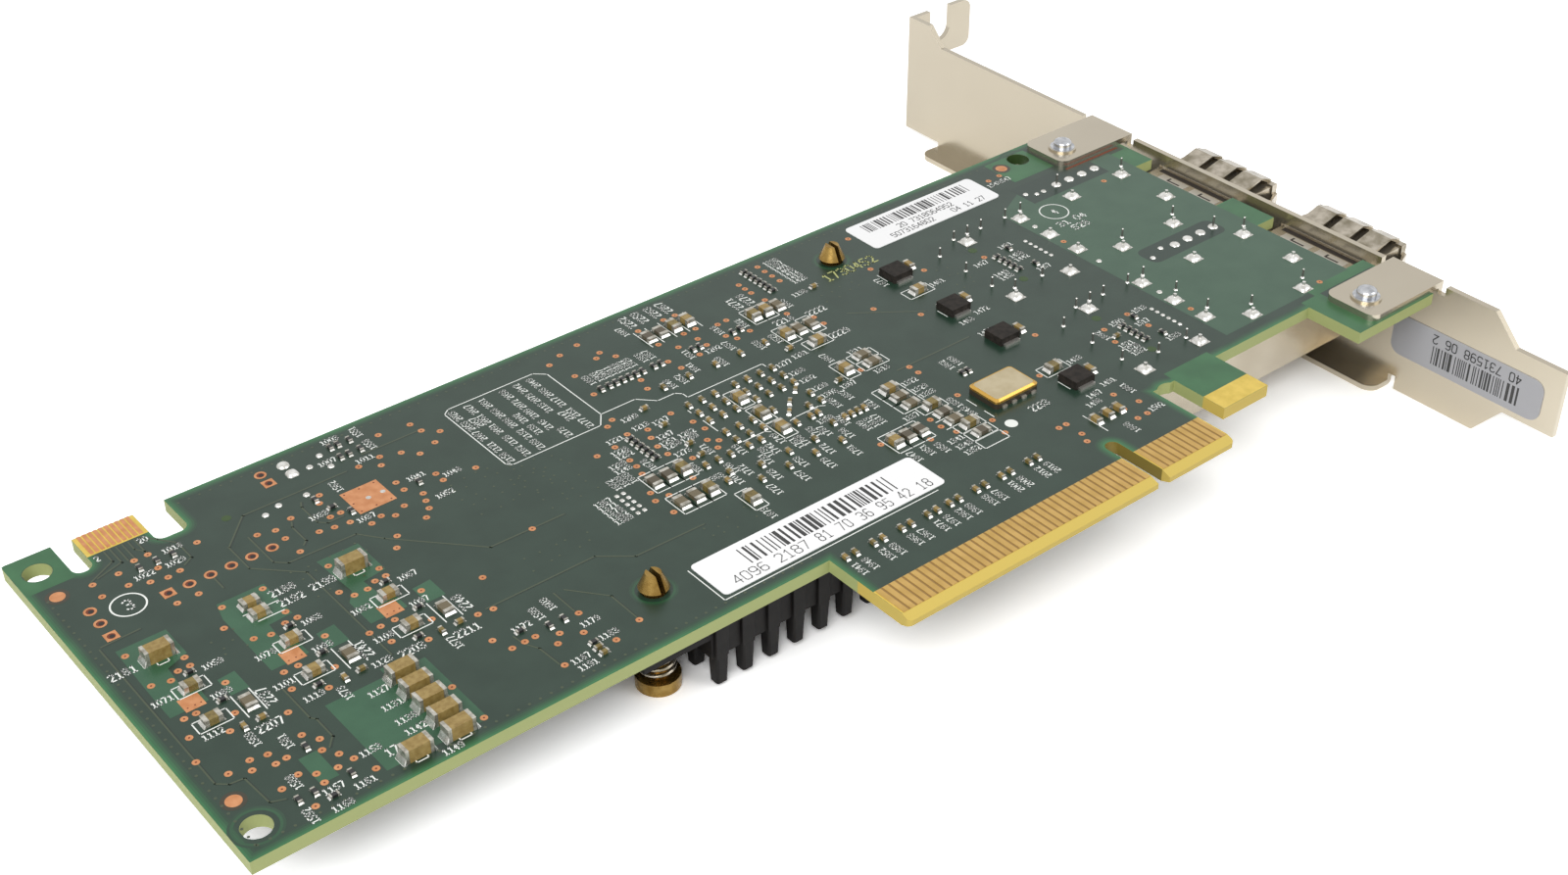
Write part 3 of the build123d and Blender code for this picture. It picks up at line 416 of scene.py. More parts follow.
# Printed numbers are drawn with strokes. Each stroke is a run of points in a box one high
FIGURE_WIDTH, FIGURE_GAP = 0.6, 0.24
STROKES = {
    "0": [[(0.12, 0), (0.48, 0), (0.6, 0.15), (0.6, 0.85), (0.48, 1), (0.12, 1), (0, 0.85), (0, 0.15),
           (0.12, 0)]],
    "1": [[(0.1, 0.8), (0.32, 1), (0.32, 0)], [(0.1, 0), (0.54, 0)]],
    "2": [[(0, 0.85), (0.15, 1), (0.45, 1), (0.6, 0.85), (0.6, 0.62), (0, 0), (0.6, 0)]],
    "3": [[(0, 0.88), (0.14, 1), (0.46, 1), (0.6, 0.86), (0.6, 0.64), (0.46, 0.52), (0.2, 0.52)],
          [(0.46, 0.52), (0.6, 0.4), (0.6, 0.14), (0.46, 0), (0.14, 0), (0, 0.12)]],
    "4": [[(0.46, 0), (0.46, 1), (0, 0.32), (0.6, 0.32)]],
    "5": [[(0.58, 1), (0.06, 1), (0.02, 0.56), (0.42, 0.6), (0.6, 0.46), (0.6, 0.14), (0.46, 0), (0.14, 0),
           (0, 0.12)]],
    "6": [[(0.54, 0.94), (0.4, 1), (0.16, 1), (0, 0.8), (0, 0.14), (0.14, 0), (0.46, 0), (0.6, 0.14),
           (0.6, 0.42), (0.46, 0.56), (0.14, 0.56), (0, 0.42)]],
    "7": [[(0, 1), (0.6, 1), (0.2, 0)]],
    "8": [[(0.14, 0.54), (0, 0.68), (0, 0.86), (0.14, 1), (0.46, 1), (0.6, 0.86), (0.6, 0.68), (0.46, 0.54),
           (0.14, 0.54), (0, 0.4), (0, 0.14), (0.14, 0), (0.46, 0), (0.6, 0.14), (0.6, 0.4), (0.46, 0.54)]],
    "9": [[(0.06, 0.06), (0.2, 0), (0.44, 0), (0.6, 0.2), (0.6, 0.86), (0.46, 1), (0.14, 1), (0, 0.86),
           (0, 0.58), (0.14, 0.44), (0.46, 0.44), (0.6, 0.58)]],
}


def number(shape, text, x, y, height, turn=0, z=SILK_Z, finish=silk, weight=0.15, wide=0.75):
    """Draws a plain number centred on a place; wide scales the figures' width."""
    step = FIGURE_WIDTH * wide * height + FIGURE_GAP * height
    total = len(text) * step - FIGURE_GAP * height
    c, s = math.cos(math.radians(turn)), math.sin(math.radians(turn))
    for index, figure in enumerate(text):
        if figure == " ":
            continue
        for run in STROKES[figure]:
            points = []
            for u, v in run:
                px = index * step + u * wide * height - total / 2
                py = (v - 0.5) * height
                points.append((x + c * px - s * py, y + s * px + c * py))
            shape.line(points, weight, z, finish)


def rounded(x0, x1, y0, y1, radius, steps=5):
    """The outline of a rectangle with round corners."""
    outline = []
    for cx, cy, start in ((x1 - radius, y1 - radius, 0), (x0 + radius, y1 - radius, 90),
                          (x0 + radius, y0 + radius, 180), (x1 - radius, y0 + radius, 270)):
        for i in range(steps + 1):
            angle = math.radians(start + 90 * i / steps)
            outline.append((cx + radius * math.cos(angle), cy + radius * math.sin(angle)))
    return outline


def dress(name, material, bevel=0.0):
    """Gives a CAD node its finish, and soft edges where they catch the light."""
    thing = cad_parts[name]
    thing.data.materials.clear()
    thing.data.materials.append(material)
    if bevel:
        soften(thing, bevel)


# Finishes of the CAD nodes that stay in the picture
dress("circuit_board", board_material())
dress("edge_contacts_solder_side", gold)
dress("edge_contacts_part_side", gold)
dress("service_contacts", copper)
dress("mounting_bracket", nickel, 0.08)
for port in (1, 2):
    dress(f"module_cage_{port}", cage_steel, 0.06)
    dress(f"cage_spring_collar_{port}", spring_steel, 0.04)
    dress(f"module_connector_{port}", black_plastic, 0.08)
dress("indicator_blocks", black_plastic, 0.1)
dress("light_pipes", clear_plastic)
dress("push_pins", brass, 0.08)
dress("controller_package", package_green, 0.1)
dress("controller_lid", lid_plate, 0.15)
dress("thermal_pad", pad_grey)
dress("filter_coil_leads", tin, 0.05)
dress("power_inductors", moulded, 0.15)
dress("voltage_regulators", black_plastic, 0.08)
dress("bulk_capacitors", tan_ceramic, 0.12)
dress("memory_chip", black_plastic, 0.08)
dress("memory_leads", tin, 0.04)
dress("filter_coils", moulded, 0.12)


def rims():
    """The loops of points round the board's solder face, with the board on their left."""
    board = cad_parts["circuit_board"]
    spots = [in_mm(board.matrix_world @ v.co) for v in board.data.vertices]
    steps = set()
    for face in board.data.polygons:
        ring = [spots[i] for i in face.vertices]
        if all(abs(p[2]) < 0.01 for p in ring):
            flat = [p[:2] for p in ring]
            if turned(flat) < 0:
                flat.reverse()
            steps.update(zip(flat, flat[1:] + flat[:1]))
    follow = {a: b for a, b in steps if (b, a) not in steps}
    loops = []
    while follow:
        first, point = follow.popitem()
        loop = [first]
        while point != first:
            loop.append(point)
            point = follow.pop(point)
        loops.append(loop)
    return loops


def inset(loop, depth):
    """A loop moved to its left by a depth, and kept between the board's two ends."""
    moved = []
    count = len(loop)
    for i in range(count):
        before, here, after = (Vector(loop[(i + k) % count]) for k in (-1, 0, 1))
        first, second = (here - before).normalized(), (after - here).normalized()
        normal = Vector((-first.y, first.x)) + Vector((-second.y, second.x))
        spot = here + normal * depth / max(0.3, normal.length_squared / 2)
        spot.x = min(max(spot.x, 0.01), BOARD_X - 0.01)
        moved.append(spot)
    return moved


# Zones of the solder mask: bright where there is no copper below, and dark over the planes
RIM_STEPS, RIM_WIDTH = 4, 0.28
TONGUE_START, TONGUE_END, TONGUE_LOW = 69.24, 120.44, 1.27
NOTCH_START, NOTCH_END, NOTCH_ROOM = 107.39, 109.29, 1.1
FOOT_START, FOOT_END, FOOT_LOW = 124.24, 132.14, 4.94
CONTACTS_END, GAP = 5.75, 0.02
TRACK_WIDTH, PAINTED_SHADOW_WIDTH = 0.18, 0.22
zones = Shape("mask_zones")
for step in range(RIM_STEPS):
    share = (1 - step / RIM_STEPS) ** 1.5
    low, high = ([a + (b - a) * share for a, b in zip(dark, bright)]
                 for dark, bright in ((MASK_LOW, RIM_LOW), (MASK_HIGH, RIM_HIGH)))
    glow = mottled(f"mask_rim_{step}", low, high, 200, 0.32)
    for loop in rims():
        hole = turned(loop) < 0
        outer, inner = inset(loop, step * RIM_WIDTH), inset(loop, (step + 1) * RIM_WIDTH)
        for i in range(len(loop)):
            j = (i + 1) % len(loop)
            if not hole or step > 1:
                strip = [outer[i], outer[j], inner[j], inner[i]]
                zones.flat([tuple(p) for p in strip], POUR_Z - (0.002 if hole else 0.003), glow)
for sides in ((124.3, 132.1, 8.2, 14.6), (150.25, 154.0, 5.3, 14.6), (154.0, 165.1, 5.3, 6.4),
              (161.7, 165.1, 54.2, 58.6), (161.7, 165.1, 31.8, 38.4), (153.0, 165.1, 14.6, 16.2)):
    zones.flat(box_outline(*sides), POUR_Z, mask_edge)
zones.holed(0.05, 5.5, 62.2, 68.85, (2.65, 65.5, 1.65), POUR_Z, mask_edge)
zones.holed(145.2, 152.9, 61.4, 67.7, (150.38, 66.1, 1.65), POUR_Z, mask_edge)
# The mounting hole's wall is lined in dark green as painted shade inside the hole
zones.hull(rounded(148.8, 151.96, 64.52, 67.68, 1.579, 8), -BOARD_Z, 0.0, via_green, smooth=True, cap=False)
for outline in (
    [(3.2, 35.2), (3.2, 39.0), (3.4, 48.0), (9.0, 48.0), (9.0, 43.2), (6.4, 42.2), (6.2, 38.9), (7.4, 37.2),
     (7.4, 35.2)],
    [(14.3, 35.2), (14.3, 45.6), (14.9, 48.3), (20.4, 48.3), (20.4, 42.0), (17.6, 41.8), (17.4, 38.9),
     (18.6, 37.2), (18.6, 35.2)],
    [(25.8, 35.2), (25.8, 39.6), (27.0, 41.2), (26.6, 48.0), (31.7, 48.0), (31.7, 42.2), (28.8, 41.8),
     (29.0, 38.9), (30.2, 37.2), (30.2, 35.2)],
    [(9.4, 34.4), (9.4, 37.4), (11.4, 37.6), (11.4, 34.4)],
    [(20.6, 34.4), (20.6, 37.4), (22.8, 37.6), (22.8, 34.4)],
    [(32.1, 34.4), (32.1, 37.4), (34.4, 37.6), (34.4, 34.4)],
    [(15.8, 15.2), (15.8, 27.1), (22.8, 27.1), (22.8, 28.4), (24.0, 28.4), (24.0, 27.1), (27.3, 27.1),
     (27.3, 15.2)],
    box_outline(10.0, 12.0, 17.6, 22.0),
):
    zones.flat(outline, POUR_Z, mask_pour)
zones.flat([(137.0, 15.6), (161.7, 15.6), (161.7, 59.0), (143.5, 59.0), (139.5, 57.0), (137.0, 55.6)],
           POUR_Z - 0.002, mask_right)
zones.flat(rounded(143.4, 157.8, 33.2, 37.1, 1.2), POUR_Z, mask_dark)
zones.flat(box_outline(142.9, 157.8, 55.2, 60.2), POUR_Z, mask_dark)

# Bare laminate at the contacts, on the foot and on the service tongue
for x0, x1 in ((TONGUE_START, NOTCH_START), (NOTCH_END, TONGUE_END)):
    zones.flat(box_outline(x0 + GAP, x1 - GAP, TONGUE_LOW, CONTACTS_END), POUR_Z, bare_laminate)
fingers = [bounds_of(block) for block in islands("edge_contacts_solder_side")]
for before, after in zip(fingers, fingers[1:]):
    x0, x1, low = before[1][0], after[0][0], after[0][1]
    if x1 - x0 < 1:
        zones.flat(box_outline(x0, x1, low, CONTACTS_END), POUR_Z + 0.004, contact_gap)
foot = box_outline(FOOT_START + GAP, FOOT_END - GAP, FOOT_LOW, BARE_BELOW)
zones.flat(foot, POUR_Z + 0.002, bare_laminate)
zones.flat(box_outline(7.92, 15.08, 64.55, 68.56), POUR_Z, bare_laminate)

# The cut walls of the key notch are painted darker than the bare edge: painted shade in the notch
for loop in rims():
    wall = inset(loop, -0.012)
    for a, b in zip(wall, wall[1:] + wall[:1]):
        if all(abs(p.x - KEY_X) < NOTCH_ROOM and p.y < BARE_BELOW + 1 for p in (a, b)):
            corners = [(*a, -BOARD_Z), (*b, -BOARD_Z), (*b, 0.0), (*a, 0.0)]
            zones.add(corners, [[0, 1, 2, 3]], notch_wall)

# Copper tracks that show faintly through the mask, each with a painted shadow line offset beside it
for track in (
    [(2.3, 49.3), (2.3, 24.1), (3.3, 23.2), (4.8, 23.0), (5.1, 18.6), (6.5, 18.0)],
    [(13.8, 32.0), (13.8, 26.5), (14.2, 26.0), (14.2, 22.8), (13.2, 21.6)],
    [(2.6, 49.6), (7.0, 49.8)],
    [(20.5, 56.4), (20.5, 51.6), (24.9, 47.1), (24.9, 29.6)],
    [(23.0, 56.6), (23.0, 50.9), (24.2, 49.8), (32.4, 49.6), (34.4, 46.9), (42.4, 38.2), (52.0, 38.0)],
    [(20.6, 56.4), (24.4, 60.6), (37.5, 60.6)],
    [(28.0, 56.0), (27.6, 55.2), (27.6, 52.1), (27.0, 51.5)],
    [(30.6, 58.6), (30.2, 57.8), (30.2, 54.2), (31.0, 53.4), (33.0, 53.4)],
    [(36.3, 29.6), (50.2, 29.6), (53.6, 26.8), (62.8, 26.6)],
    [(36.0, 24.0), (36.2, 22.4), (37.0, 20.8), (37.2, 17.4)],
    [(43.2, 27.2), (43.2, 23.4)], [(44.4, 27.0), (47.6, 23.0), (47.6, 18.4)],
    [(10.4, 64.3), (10.4, 61.4), (7.2, 60.4)], [(9.7, 64.3), (9.7, 62.2), (6.3, 60.2)],
    [(11.1, 64.3), (11.1, 61.2)], [(11.8, 64.3), (11.8, 61.2)], [(12.5, 64.3), (12.5, 62.6), (13.3, 61.4)],
    [(13.2, 64.3), (13.2, 61.4)], [(14.0, 64.3), (15.2, 62.6), (16.6, 60.8), (16.6, 57.4), (15.4, 56.6)],
    [(16.8, 52.6), (16.8, 50.4)], [(40.6, 62.4), (48.0, 62.4)],
    [(104.0, 50.0), (112.0, 44.0)], [(100.0, 36.0), (112.0, 36.0)],
):
    zones.line([(x + 0.1, y - 0.12) for x, y in track], PAINTED_SHADOW_WIDTH, POUR_Z + 0.001, mask_shade)
    zones.line(track, TRACK_WIDTH, POUR_Z + 0.003, mask_track)
zones.build("board")

# Bare copper: plated holes, test points and the targets that machines align to
VIA_REACH, VIA_HOLE = 0.41, 0.12

# Strips of the picture, two at one scale and the end one at another: pixels in a millimetre, where a
# strip starts along the board, and where its top edge lies across the board
STRIP_SCALE, END_SCALE = 28, 27.4
STRIP_STARTS, STRIP_TOP = (-2, 52), 70
END_START, END_TOP = 112, 71


def placed(spots, scale, start, top):
    """Places on the board in millimetres, from pixels of one strip."""
    return [(across / scale + start, top - down / scale) for across, down in spots]


LEFT_VIAS = (
    (233, 288), (316, 287), (380, 258), (425, 257), (568, 297), (231, 358), (315, 358), (420, 337),
    (372, 385), (423, 398), (465, 391), (388, 528), (457, 528), (440, 720), (165, 652), (293, 765),
    (165, 817), (218, 832), (252, 807), (289, 807), (332, 937), (174, 1001), (210, 1001), (150, 1079),
    (293, 1068), (248, 1126), (407, 1160), (120, 1178), (235, 1263), (166, 1274), (283, 1274),
    (391, 1265), (221, 1303), (282, 1321), (316, 1318), (421, 1310), (404, 1353), (308, 1395),
    (248, 1417), (347, 1424), (432, 1395), (404, 1439), (454, 1436), (347, 1467), (285, 1530),
    (480, 1508), (480, 630), (614, 628), (614, 767), (484, 817), (532, 832), (588, 812), (628, 812),
    (648, 937), (480, 1003), (525, 1003), (462, 1081), (602, 1075), (545, 1142), (727, 382), (782, 397),
    (785, 453), (788, 540), (976, 322), (955, 360), (946, 445), (982, 445), (882, 489), (930, 499),
    (980, 507), (1028, 556), (1070, 541), (1106, 567), (1153, 541), (1197, 418), (1197, 467),
    (1233, 523), (1219, 562), (1206, 602), (1174, 638), (1055, 661), (1023, 712), (818, 657), (930, 765),
    (780, 788), (808, 829), (853, 829), (889, 810), (927, 808), (971, 937), (753, 1009), (794, 1003),
    (841, 1003), (783, 1082), (925, 1070), (870, 1142), (1040, 1138), (1089, 1145), (1145, 1001),
    (1394, 896), (1008, 1264), (1033, 1329), (1077, 1328), (1113, 1328), (1175, 1361), (1145, 1396),
    (1231, 1402), (1270, 1321), (1388, 1459), (1107, 1485), (1284, 1489), (811, 1360), (811, 1524),
    (1290, 152), (1402, 166), (1412, 220), (1458, 262), (1411, 306), (1340, 330), (1296, 286),
    (1230, 262), (1150, 267), (1210, 306), (1320, 458), (1320, 502), (1436, 511), (848, 372),
)
MIDDLE_VIAS = (
    (447, 163), (510, 134), (594, 117), (596, 231), (626, 208), (475, 275), (656, 262), (812, 180),
    (925, 178), (976, 178), (814, 297), (925, 297), (977, 297), (857, 355), (942, 355), (942, 406),
    (886, 439), (460, 408), (634, 439), (785, 466), (774, 406), (619, 496), (1054, 325), (1095, 322),
    (1030, 403), (1050, 441), (1116, 430), (1288, 302), (1289, 425), (1415, 103), (1415, 145),
    (1281, 160), (1281, 196), (1281, 232), (1415, 188), (1415, 232), (1347, 505), (1347, 559),
    (1547, 599), (1652, 735), (418, 571), (383, 594), (407, 671), (259, 709), (333, 705), (475, 692),
    (590, 665), (455, 737), (617, 751), (623, 807), (327, 795), (442, 790), (442, 845), (324, 836),
    (589, 864), (617, 890), (589, 920), (490, 914), (313, 881), (272, 980), (424, 1001), (259, 1024),
    (310, 1027), (268, 1107), (1006, 1246), (1250, 870), (1389, 963), (1389, 1008), (1396, 1195),
    (1518, 1192), (1561, 1192), (1226, 1244), (1226, 1296), (1245, 1350), (1150, 1328), (1382, 1377),
    (1364, 1455), (1518, 1550), (1552, 1550), (1552, 1621), (1534, 1662),
)
RIGHT_VIAS = (
    (44, 401), (126, 183), (187, 530), (182, 1097), (417, 602), (838, 190), (900, 185), (1180, 475),
    (722, 706), (722, 1323), (1213, 1494), (389, 1225), (360, 1303), (525, 1206), (527, 1303),
    (12, 1287), (118, 1523), (153, 1603), (82, 1603), (78, 1668), (123, 1668),
)
vias = placed(LEFT_VIAS, STRIP_SCALE, STRIP_STARTS[0], STRIP_TOP)
vias += placed(MIDDLE_VIAS, STRIP_SCALE, STRIP_STARTS[1], STRIP_TOP)
vias += placed(RIGHT_VIAS, END_SCALE, END_START, END_TOP)
pads = Shape("copper_pads")
for x, y in vias:
    pads.disc(x, y, COPPER_Z, VIA_REACH, copper)
    pads.disc(x, y, COPPER_Z + 0.002, VIA_HOLE, hole_copper, 8)
for x, y in ((2.6, 60.2), (2.6, 20.9), (146.6, 65.6)):
    pads.ring(x, y, COPPER_Z - 0.004, 0.8, 1.3, target_ring)
    pads.disc(x, y, COPPER_Z, 0.85, copper, 24)
for x, y in ((5.9, 36.0), (17.1, 36.0), (28.6, 36.0)):
    pads.flat(box_outline(x - 1.1, x + 1.1, y - 1.1, y + 1.1), COPPER_Z, copper)
    for dx in (-0.7, 0.1, 0.75):
        pads.disc(x + dx, y - 0.55, COPPER_Z + 0.002, 0.1, hole_copper, 8)

# A large square pad with its holes and two drops of solder
PAD_X, PAD_Y, PAD_SIDE = 34.6, 52.4, 4.7
pads.flat(box_outline(PAD_X, PAD_X + PAD_SIDE, PAD_Y, PAD_Y + PAD_SIDE), COPPER_Z, copper)
for dx, dy in ((0.4, 4.3), (2.3, 4.3), (4.2, 4.3), (0.4, 2.2), (0.4, 0.4), (2.3, 0.4), (4.2, 0.4)):
    pads.disc(PAD_X + dx, PAD_Y + dy, COPPER_Z + 0.002, VIA_HOLE, hole_copper, 8)
for dx in (2.3, 4.15):
    pads.dome(PAD_X + dx, PAD_Y + 2.2, COPPER_Z, 0.32, 0.08, solder, 10, 2)

# Plated holes for pins, round or on a square pad, and small green plugs
for x, y, square in (
    (4.2, 55.7, 0), (4.2, 53.2, 0), (4.2, 50.6, 1), (11.9, 53.3, 1), (14.35, 53.3, 0), (16.8, 53.3, 0),
    (19.25, 53.3, 0), (21.7, 53.3, 0), (24.15, 53.3, 0), (29.6, 66.2, 0), (29.6, 64.2, 1),
):
    if square:
        pads.flat(box_outline(x - 0.72, x + 0.72, y - 0.72, y + 0.72), COPPER_Z, copper)
    else:
        pads.disc(x, y, COPPER_Z, 0.72, copper, 20)
    pads.disc(x, y, COPPER_Z + 0.003, 0.46, hole_copper, 16)
    # Painted shade in the bore of each hole
    pads.disc(x + 0.06, y - 0.08, COPPER_Z + 0.005, 0.3, hole_dark, 14)
for x, y, reach in (
    (22.8, 61.3, 0.55), (127.3, 51.3, 0.62), (127.3, 41.7, 0.62), (127.4, 28.8, 0.62), (127.4, 19.4, 0.62),
):
    pads.disc(x, y, COPPER_Z, reach, via_green, 18)
pads.flat(box_outline(153.5, 164.0, 59.35, 59.75), COPPER_Z, hole_copper)
pads.build("gold")

# Small covered holes in rows along the edges, and scattered between the parts
DOT_PITCH, DOT_STRAY = 1.3, 0.5
dots = Shape("covered_holes")
for x, y, across, up, count, reach in (
    (1.45, 14.5, 0, DOT_PITCH, 36, 0.17),
    (1.6, 14.35, DOT_PITCH, 0, 52, 0.17),
    (20.0, 67.3, DOT_PITCH, 0, 98, 0.15),
):
    for i in range(count):
        dots.disc(x + i * across, y + i * up, COPPER_Z, reach, mask_track, 8)
for x, y, columns, rows in (
    (24.0, 43.0, 5, 4), (45.0, 44.0, 6, 5), (52.0, 40.0, 4, 6), (104.0, 54.0, 4, 3),
    (62.0, 24.0, 5, 2), (44.0, 32.0, 5, 2), (12.0, 40.0, 2, 3), (120.0, 45.0, 2, 4),
):
    for i in range(columns):
        for j in range(rows):
            spot_x = x + i * 1.9 + random.uniform(-DOT_STRAY, DOT_STRAY)
            spot_y = y + j * 1.7 + random.uniform(-DOT_STRAY, DOT_STRAY)
            dots.disc(spot_x, spot_y, COPPER_Z, 0.14, mask_track, 8)
dots.build("board")

# Print on the solder face
SILK_LINE = 0.14
printed = Shape("board_print")


def stacked(x, *heights):
    """Places above each other."""
    return [(x, y) for y in heights]


def stroke(points, closed=False):
    """A plain printed line."""
    printed.line(points, SILK_LINE, SILK_Z, silk, closed)


lying = [
    (39.1, 67.3), (36.75, 63.6), (40.4, 61.4), (15.7, 60.2), (11.3, 57.75), (14.9, 57.75), (30.9, 55.2),
    (34.8, 51.5), (43.1, 54.7), (46.75, 52.8), (43.9, 49.75), (10.2, 40.0), (21.4, 39.8), (32.9, 39.75),
    (3.7, 38.0), (15.0, 37.8), (26.2, 37.9), (8.8, 35.4), (20.1, 35.25), (31.6, 35.2), (14.25, 32.6),
    (25.7, 32.5), (5.4, 30.5), (15.7, 29.1), (23.6, 29.3), *stacked(21.0, 25.6, 23.0, 20.4, 18.6),
    (22.3, 13.8), (16.0, 18.7), (10.7, 16.4), (13.4, 15.2), (10.25, 13.85), (37.5, 24.8),
    (43.5, 21.0), (43.8, 18.1), (39.4, 16.8), (39.4, 15.5),
    (102.5, 57.7), (85.6, 54.2), (68.7, 48.6), (68.7, 46.4), (71.2, 45.8), (64.7, 46.0), (63.8, 43.8),
    (63.8, 42.8), (62.0, 41.7), (62.0, 40.6), (69.8, 43.1), (69.3, 41.8), (69.3, 40.9), (72.0, 41.8),
    (71.7, 40.8), (69.3, 39.0), (90.3, 46.1), (93.1, 46.4), *stacked(90.3, 43.6, 41.6, 39.3, 37.5),
    (93.3, 37.5), (98.9, 42.7), (98.7, 37.5), *stacked(99.4, 33.2, 31.4, 30.0),
    (94.5, 27.5), *stacked(95.3, 20.7, 19.3, 17.9), (86.3, 33.6), (69.1, 32.7),
    *stacked(56.5, 36.9, 35.9, 34.9, 33.9, 32.9),
    *stacked(104.7, 66.3, 65.3, 64.3, 63.3, 62.3, 61.3, 60.3),
    (125.7, 48.1), (131.5, 49.5), (131.0, 46.9), (131.0, 45.8), (126.0, 44.6), (126.0, 43.5), (131.5, 42.2),
    (118.0, 48.3), (114.4, 38.9), (117.6, 39.6), (114.4, 35.5), (118.3, 23.9), (114.6, 17.0), (117.8, 17.8),
    (113.2, 15.7), (118.3, 10.4), (128.6, 26.5), (133.2, 26.9), (131.2, 24.5),
    *stacked(125.8, 22.2, 21.2, 20.1), (131.7, 19.7), (142.5, 62.9), (144.5, 62.9),
]
upright = [
    (42.3, 66.8), (42.3, 63.6), (35.1, 58.75), (8.0, 27.3), (18.3, 27.5), (30.9, 27.1), (10.3, 25.0),
    (8.2, 19.5), (7.2, 14.5), (39.9, 25.5), (41.7, 26.1),
    (79.3, 64.6), (82.5, 55.2), (88.7, 57.3), (92.1, 56.6), (93.1, 51.1), (90.6, 51.3), (87.6, 53.6),
    (81.1, 52.5), (76.8, 51.3), (78.5, 51.3), (84.7, 51.3), (99.5, 56.8), (95.1, 43.6),
    (71.8, 37.7), (64.8, 39.6), (59.4, 38.8), (60.5, 38.8), (61.6, 38.8), (68.5, 35.7), (70.8, 30.9),
    (71.7, 32.9), (72.7, 31.6), (74.7, 35.2), (74.7, 28.8), (72.9, 26.6), (75.8, 31.8), (76.7, 32.9),
    (77.8, 32.9), (79.5, 34.1), (78.6, 28.8), (77.0, 26.6), (80.6, 32.0), (81.5, 32.0), (82.6, 28.8),
    (80.9, 26.6), (83.6, 32.5), (84.7, 31.8), (84.8, 26.6), (86.4, 29.8), (87.7, 32.1), (89.0, 29.6),
    (90.1, 29.6), (91.2, 29.6), (92.6, 32.5), (89.4, 35.5), (91.6, 35.9), (100.5, 26.4), (100.5, 23.9),
    (89.3, 21.2), (91.3, 21.2), (93.0, 20.5), (105.4, 33.0), (106.8, 33.0), (69.6, 23.6),
    (112.4, 52.9), (118.6, 15.3), (112.9, 9.3), (125.0, 25.4),
]
upright += [(x, 58.3) for x in (69.7, 70.9, 71.9, 72.9, 73.9, 74.9, 75.9, 77.6, 78.7)]
upright += [(x + d, 9.6) for x in (71.5, 75.5, 79.6, 83.5, 86.8, 90.9, 94.9, 99.2) for d in (-0.75, 0.75)]
for y, columns in (
    (62.1, (53.1, 55.3, 57.3, 60.3, 62.3, 64.2)), (59.4, (53.1, 54.3, 55.3, 57.3, 60.3, 62.3, 64.2)),
    (56.8, (53.1, 55.3, 57.3, 58.8, 60.3, 62.3, 64.2)), (53.8, (53.1, 55.3, 57.3, 58.8, 60.3, 63.2, 64.2)),
    (51.1, (53.1, 55.3, 57.3, 61.2, 64.2)),
):
    upright += [(x, y) for x in columns]
large_lying = [(2.5, 44.4), (21.4, 46.1), (21.4, 44.1), (25.3, 44.4), (26.9, 28.9), (10.3, 28.1),
               (32.9, 27.9), (96.6, 53.8), (101.3, 53.0), (100.2, 47.1), (107.8, 19.5)]
large_upright = [(12.0, 32.1), (23.1, 32.1), (34.9, 32.1), (81.1, 66.0), (83.0, 66.0), (85.0, 66.0),
                 (86.8, 66.0), (94.3, 60.9), (96.1, 60.9)]
count = 1003
for places, turn, height, weight in (
    (lying, 0, 0.86, 0.15),
    (upright, 90, 0.86, 0.14),
    (large_lying, 0, 1.12, 0.18),
    (large_upright, 90, 1.1, 0.18),
):
    for x, y in places:
        number(printed, str(count), x, y, height, turn, weight=weight)
        count += 7 if count % 10 < 3 else 4
number(printed, "17", 17.6, 17.3, 1.12, weight=0.18)
number(printed, "2", 8.6, 63.6, 0.9)
number(printed, "20", 13.9, 63.6, 0.9)
number(printed, "1730452", 111.6, 58.3, 1.7, finish=silk_yellow, weight=0.24, wide=0.85)
number(printed, "31 04", 143.5, 48.8, 1.15, weight=0.2, wide=1.1)
number(printed, "528", 143.4, 47.0, 1.15, weight=0.2, wide=1.1)
for figure, x, y, inner, outer, height, weight in (
    ("3", 7.8, 54.2, 1.8, 2.0, 1.7, 0.22), ("4", 143.3, 51.9, 1.92, 2.1, 1.3, 0.2),
):
    printed.ring(x, y, SILK_Z, inner, outer, silk, 40)
    number(printed, figure, x, y, height, weight=weight)
printed.disc(102.6, 18.9, SILK_Z, 0.8, silk, 24)

# Frames printed round chips
for x0, x1, y0, y1 in (
    (5.1, 8.7, 37.1, 39.0), (16.3, 20.0, 36.9, 38.8), (27.7, 31.5, 36.9, 38.8), (4.4, 8.1, 31.2, 33.1),
    (15.6, 19.4, 31.2, 33.1), (27.0, 30.9, 31.2, 33.1), (62.3, 64.2, 34.4, 38.3),
    (64.2, 66.2, 34.4, 38.3), (66.2, 68.2, 34.4, 38.3), (62.3, 64.2, 29.3, 33.1),
    (64.2, 66.2, 29.3, 33.1), (66.2, 68.2, 29.3, 33.1), (68.8, 70.7, 24.8, 28.8),
    (80.2, 82.2, 41.5, 45.4), (80.2, 82.2, 37.3, 41.1), (80.2, 82.2, 33.5, 37.2),
    (93.4, 95.25, 55.2, 58.9), (95.25, 97.2, 55.2, 58.9), (93.8, 95.7, 48.9, 52.9),
    (97.7, 99.7, 48.9, 52.9), (94.8, 98.6, 46.2, 48.2), (94.1, 96.1, 38.2, 42.1),
    (96.9, 100.8, 40.3, 42.1), (96.9, 100.8, 38.3, 40.2), (94.2, 98.1, 32.3, 34.3),
    (94.2, 98.1, 30.4, 32.3), (94.2, 98.1, 28.4, 30.4), (88.4, 90.4, 22.7, 26.7),
    (90.4, 92.4, 22.7, 26.7), (92.4, 94.1, 22.7, 26.7), (96.7, 100.6, 19.0, 20.9),
    (96.7, 100.6, 17.1, 18.9), (112.5, 116.7, 47.2, 49.3), (112.9, 116.9, 23.0, 25.2),
):
    stroke(box_outline(x0, x1, y0, y1), True)
